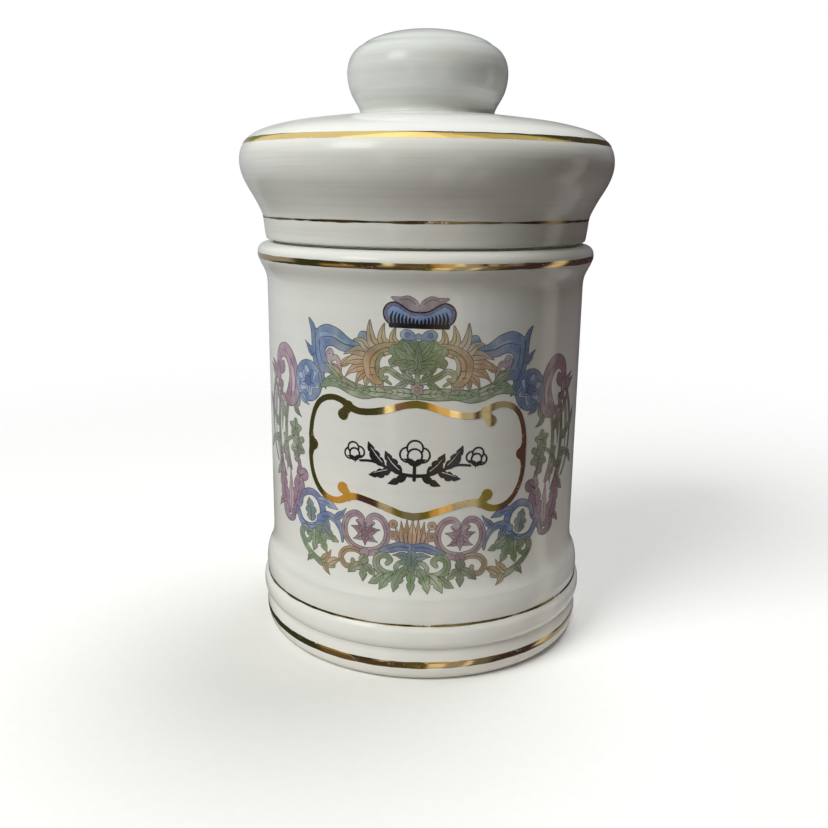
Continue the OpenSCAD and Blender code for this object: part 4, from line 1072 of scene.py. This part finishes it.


# ---- the object ----
# the height lists are painted shade lines, (height, width, depth) of the darkening in each groove and joint
jar_glaze = porcelain("porcelain_jar", ((9.2, 0.75, 0.75), (15.9, 0.65, 0.45), (22.7, 1.3, 0.42), (99.6, 1.6, 0.20)), rings=0.42)
lid_glaze = porcelain("porcelain_lid", ((LID_Z + 6.1, 0.8, 0.40), (LID_Z + 32.9, 0.45, 0.55), (LID_Z + 0.1, 0.35, 0.6)), rings=1.5)
# the knob's white is set darker and greener: partly painted shade, partly a greyer glaze
knob_glaze = porcelain("porcelain_knob", ((KNOB_Z + 0.3, 0.8, 0.65), (KNOB_Z + 17.6, 0.35, 0.35)), tuple(a * b for a, b in zip(GLAZE_WHITE, (0.80, 0.825, 0.83))), 1.5)
foot_clay = biscuit()


def jar_mat(p, q):
    return 1 if max(p[1], q[1]) < 0.62 and min(p[0], q[0]) > 38.9 and max(p[0], q[0]) < 44.4 else 0


lathe("jar_porcelain", JAR, 0.0, "jar", ["jar_body"], [jar_glaze, foot_clay], jar_mat)
lathe("lid_porcelain", LID, LID_Z, "lid", ["lid_shell"], [lid_glaze])
lathe("knob_porcelain", KNOB, KNOB_Z, "lid", ["lid_knob"], [knob_glaze])
lathe("seal_ring_finned", SEAL, LID_Z, "seal", ["sealing_ring"], [soft_plastic()])

gold_bright = gilt("gilt_bright", wear=0.25, thin=0.35)
gold_line = gilt("gilt_line", wear=0.95, thin=0.6, dull=0.12, bright=0.26)
gold_rim = gilt("gilt_rim", wear=0.6, thin=0.85, bright=0.74)
gold_frame = gilt("gilt_frame", ring=False, wear=0.10, thin=0.45)


def lower_line(th):
    return max(0.22, min(1.0, 0.72 + 0.55 * rough(th, 4.0, 26) + 0.30 * rough(th, 9.0, 90)))


def foot_line(th):
    return max(0.30, min(1.0, 0.80 + 0.50 * rough(th, 2.0, 30) + 0.25 * rough(th, 6.0, 100)))


band("gilt_lid_shoulder", LID_OUTER, 24.6, 26.0, LID_Z, "lid", "lid_shoulder_gilt_band", gold_bright, 1.0, 0.11)
band("gilt_lid_lower", LID_OUTER, 5.62, 6.42, LID_Z, "lid", "lid_lower_gilt_line", gold_line, 2.0, 0.09, lower_line)
band("gilt_rim", JAR_OUTER, 106.4, 107.95, 0.0, "jar", "rim_gilt_band", gold_rim, 3.0, 0.12)
band("gilt_foot_upper", JAR_OUTER, 15.6, 16.3, 0.0, "jar", "foot_upper_gilt_line", gold_line, 4.0, 0.07, foot_line)
band("gilt_foot_lower", JAR_OUTER, 4.0, 5.9, 0.0, "jar", "foot_lower_gilt_band", gold_rim, 5.0, 0.14)

art = Art()
draw_wreath(art)
draw_crest(art)
draw_frame(art)
draw_label(art)
ink_fill = printed("ink_wash")
ink_line = printed("ink_outline", 0.5)
ink_dark = printed("ink_label", 0.05, 0.16)
specs = {("gilt", "fill"): ("gilt_label_frame", "label_gilt_frame", "gilt", gold_frame, 0.09),
         ("label", "fill"): ("cotton_sprig", "label_cotton_motif", "ink_black", ink_dark, 0.055),
         ("crest", "fill"): ("crest_fill", "crest_transfer", "ink_navy", ink_fill, 0.045),
         ("crest", "line"): ("crest_line", "crest_transfer", "ink_navy", ink_dark, 0.055)}
for colour in ("green", "blue", "orange", "mauve"):
    specs[(colour, "fill")] = ("wreath_" + colour + "_fill", "wreath_" + colour + "_transfer", "ink_" + colour, ink_fill, 0.04)
    specs[(colour, "line")] = ("wreath_" + colour + "_line", "wreath_" + colour + "_transfer", "ink_" + colour, ink_line, 0.05)
films(art, specs)


# ---- floor, light and camera ----
def floor():
    rings = [42.6, 46, 50, 56, 64, 76, 92, 115, 150, 200, 280, 400, 560, 760, 1000, 1300]
    n = 128
    verts = [(r * math.sin(2 * math.pi * k / n), -r * math.cos(2 * math.pi * k / n), -0.02) for r in rings for k in range(n)]
    faces = [(i * n + k, (i + 1) * n + k, (i + 1) * n + (k + 1) % n, i * n + (k + 1) % n) for i in range(len(rings) - 1) for k in range(n)]
    me = bpy.data.meshes.new("floor")
    me.from_pydata([(x * MM, y * MM, z * MM) for x, y, z in verts], [], faces)
    me.update()
    if me.polygons[0].normal.z < 0:
        me.flip_normals()
    o = bpy.data.objects.new("floor", me)
    bpy.context.scene.collection.objects.link(o)
    m, net, sh = material("floor_paper")
    p = net.place()
    xyz = net.split(p)
    r = net.math("SQRT", net.math("ADD", net.math("MULTIPLY", xyz[0], xyz[0]), net.math("MULTIPLY", xyz[1], xyz[1])))
    path = net.add("ShaderNodeLightPath")
    paper = net.mix(net.noise(400.0, 3.0, 0.6, p), (0.86, 0.86, 0.855), (0.90, 0.90, 0.895))
    bounce = net.mix(net.span(r, 0.055, 0.165, 0.0, 1.0, True), (0.88, 0.83, 0.785), (0.06, 0.053, 0.047))
    net.put(sh.inputs["Base Color"], net.mix(path.outputs["Is Camera Ray"], bounce, paper))
    sh.inputs["Roughness"].default_value = 0.9
    sh.inputs["Specular IOR Level"].default_value = 0.1
    clear = net.add("ShaderNodeBsdfTransparent")
    back = net.math("MULTIPLY", net.add("ShaderNodeNewGeometry").outputs["Backfacing"], path.outputs["Is Camera Ray"])
    fade = net.span(r, 0.09, 0.42, 0.0, 1.0, True)
    mixer = net.add("ShaderNodeMixShader", {0: net.math("MAXIMUM", fade, back)})
    net.t.links.new(sh.outputs[0], mixer.inputs[1])
    net.t.links.new(clear.outputs[0], mixer.inputs[2])
    net.t.links.new(mixer.outputs[0], net.t.nodes["Material Output"].inputs[0])
    me.materials.append(m)
    o.visible_glossy = False


floor()


def lamp(name, place, target, size, power, tint=(1, 1, 1), glossy=True, size_y=None):
    l = bpy.data.lights.new(name, "AREA")
    l.shape = "RECTANGLE" if size_y else "DISK"
    l.size = size
    if size_y:
        l.size_y = size_y
    l.energy = power
    l.color = tint
    o = bpy.data.objects.new(name, l)
    bpy.context.scene.collection.objects.link(o)
    o.location = place
    o.rotation_euler = (Vector(target) - Vector(place)).to_track_quat("-Z", "Y").to_euler()
    o.visible_glossy = glossy
    o.visible_camera = False
    return o


lamp("key", (-0.60, -0.59, 0.77), (0, 0, 0.06), 0.60, 10.3, (0.985, 1.0, 0.965), False)
lamp("fill", (0.75, -0.35, 0.35), (0, 0, 0.08), 0.50, 0.2, (1.0, 0.93, 0.84), False)
lamp("top", (0.23, 0.26, 0.95), (0, 0, 0.1), 0.60, 6.1, (0.96, 0.985, 1.0), False)

world = bpy.data.worlds.new("studio")
bpy.context.scene.world = world
world.use_nodes = True
net = Net(world.node_tree)
d = net.add("ShaderNodeTexCoord").outputs["Generated"]
x, y, z = net.split(d)
turn = net.math("MULTIPLY", net.math("ARCTAN2", x, net.math("MULTIPLY", y, -1.0)), 180 / math.pi)   # 0 towards the front, + to the right
lift = net.math("MULTIPLY", net.math("ARCSINE", net.math("MAXIMUM", net.math("MINIMUM", z, 1.0), -1.0)), 180 / math.pi)


def steps(stops):
    """Colours from one turn to the next, with short blends between them."""
    n = net.t.nodes.new("ShaderNodeValToRGB")
    net.put(n.inputs[0], net.math("DIVIDE", net.math("ADD", turn, 180.0), 360.0))
    el = n.color_ramp.elements
    while len(el) > 1:
        el.remove(el[-1])
    first = True
    for a, b, c in stops:
        for t in (a, b):
            e = el[0] if first else el.new((t + 180) / 360)
            e.position = (t + 180) / 360
            e.color = (c[0], c[1], c[2], 1)
            first = False
    return n.outputs[0]


DARK, BROWN, OLIVE, TAN, LIT, WARM = (0.050, 0.060, 0.045), (0.19, 0.11, 0.14), (0.13, 0.125, 0.045), (0.38, 0.38, 0.42), (1.0, 0.95, 0.84), (0.65, 0.48, 0.28)
PLUM, RUST, GREY = (0.055, 0.036, 0.055), (0.50, 0.32, 0.11), (0.17, 0.17, 0.20)
level = steps([(-180, -100, TAN), (-92, -25, DARK), (-24, -18.5, LIT), (-17, -11, BROWN), (-9, 6, OLIVE), (7, 11, RUST), (12, 21, WARM), (22.5, 28, LIT), (29, 38, TAN), (40, 43, PLUM), (45, 51, TAN),
               (52, 53, PLUM), (55, 68, GREY), (72, 180, PLUM)])
below = steps([(-180, -75, DARK), (-70, -47, RUST), (-45, -30, PLUM), (-29, -20, TAN), (-18, -12, OLIVE), (-10, 0, GREY), (2, 8, OLIVE), (9, 14, RUST), (15, 23, WARM), (25, 42, TAN), (46, 58, OLIVE), (62, 180, PLUM)])
low = steps([(-180, -80, DARK), (-72, -48, (0.16, 0.125, 0.10)), (-44, -9, (0.095, 0.070, 0.060)), (-7, 7, OLIVE), (9, 20, LIT), (22, 35, TAN), (36.5, 40.5, LIT), (42, 55, GREY), (57, 108, PLUM), (112, 180, TAN)])
above = steps([(-180, -160, (0.06, 0.06, 0.05)), (-152, -142, (0.20, 0.24, 0.12)), (-134, -66, (0.80, 0.78, 0.70)), (-60, -20, (1.30, 1.24, 1.0)), (-14, 16, (1.15, 1.08, 0.84)), (22, 44, (0.86, 0.76, 0.55)),
               (52, 104, (0.48, 0.46, 0.31)), (116, 180, (0.045, 0.045, 0.04))])
env = net.mix(net.span(lift, -25.5, -23.5), low, below)
env = net.mix(net.span(lift, -18.0, -15.5), env, level)
env = net.mix(net.span(lift, 6.0, 20.0, 0.0, 1.0, True), env, above)
# a window high on the left, seen as a soft light on the knob and the lid
pane = net.math("MULTIPLY", net.math("MULTIPLY", net.span(turn, -62, -56, 0, 1, True), net.span(turn, -34, -28, 1, 0, True)),
                net.math("MULTIPLY", net.span(lift, 22, 27, 0, 1, True), net.span(lift, 40, 45, 1, 0, True)))
env = net.mix(pane, env, (4.2, 4.2, 4.0))
side = net.math("MULTIPLY", net.math("MULTIPLY", net.span(turn, 90, 100, 0, 1, True), net.span(turn, 106, 114, 1, 0, True)),
                net.math("MULTIPLY", net.span(lift, -34, -30, 0, 1, True), net.span(lift, 4, 9, 1, 0, True)))
env = net.mix(net.math("MULTIPLY", side, 0.75), env, (0.95, 0.90, 0.80))
env = net.mix(net.span(lift, -62.0, -38.0), (0.20, 0.17, 0.15), env)
path = net.add("ShaderNodeLightPath")
soft = net.mix(net.span(z, -0.6, 0.9), (0.078, 0.068, 0.056), (0.17, 0.165, 0.155))
# dimmer and warmer on the right, a little lighter behind
soft = net.mix(net.span(x, -0.1, 0.8), soft, net.mix(1.0, soft, (0.50, 0.44, 0.37), "MULTIPLY"))
soft = net.mix(net.span(y, 0.2, 0.9), soft, net.mix(1.0, soft, (2.8, 2.8, 2.8), "MULTIPLY"))
amb = net.mix(path.outputs["Is Glossy Ray"], soft, env)
amb = net.mix(path.outputs["Is Camera Ray"], amb, (1.0, 1.0, 1.0))
bg = net.add("ShaderNodeBackground", {0: amb, 1: 1.0})
net.t.links.new(bg.outputs[0], net.add("ShaderNodeOutputWorld").inputs[0])

cam = bpy.data.cameras.new("camera")
cam.lens, cam.sensor_width, cam.sensor_fit = 39.13, 36.0, "HORIZONTAL"
cam.clip_start, cam.clip_end = 0.01, 20.0
eye = bpy.data.objects.new("camera", cam)
bpy.context.scene.collection.objects.link(eye)
yaw, pitch, roll, orbit = -0.010455, 0.243854, 0.0109514, math.radians(2.5)
fwd = Vector((math.sin(yaw) * math.cos(pitch), math.cos(yaw) * math.cos(pitch), -math.sin(pitch)))
right = Vector((math.cos(yaw), -math.sin(yaw), 0.0))
up = right.cross(fwd)
r2 = right * math.cos(roll) + up * math.sin(roll)
u2 = up * math.cos(roll) - right * math.sin(roll)
pose = Matrix((r2, u2, -fwd)).transposed().to_4x4()
pose.translation = Vector((0.0, -0.25705, 0.1245))
eye.matrix_world = Matrix.Rotation(orbit, 4, "Z") @ pose
bpy.context.scene.camera = eye
bpy.context.scene.view_settings.view_transform = "Standard"

bpy.context.view_layer.update()
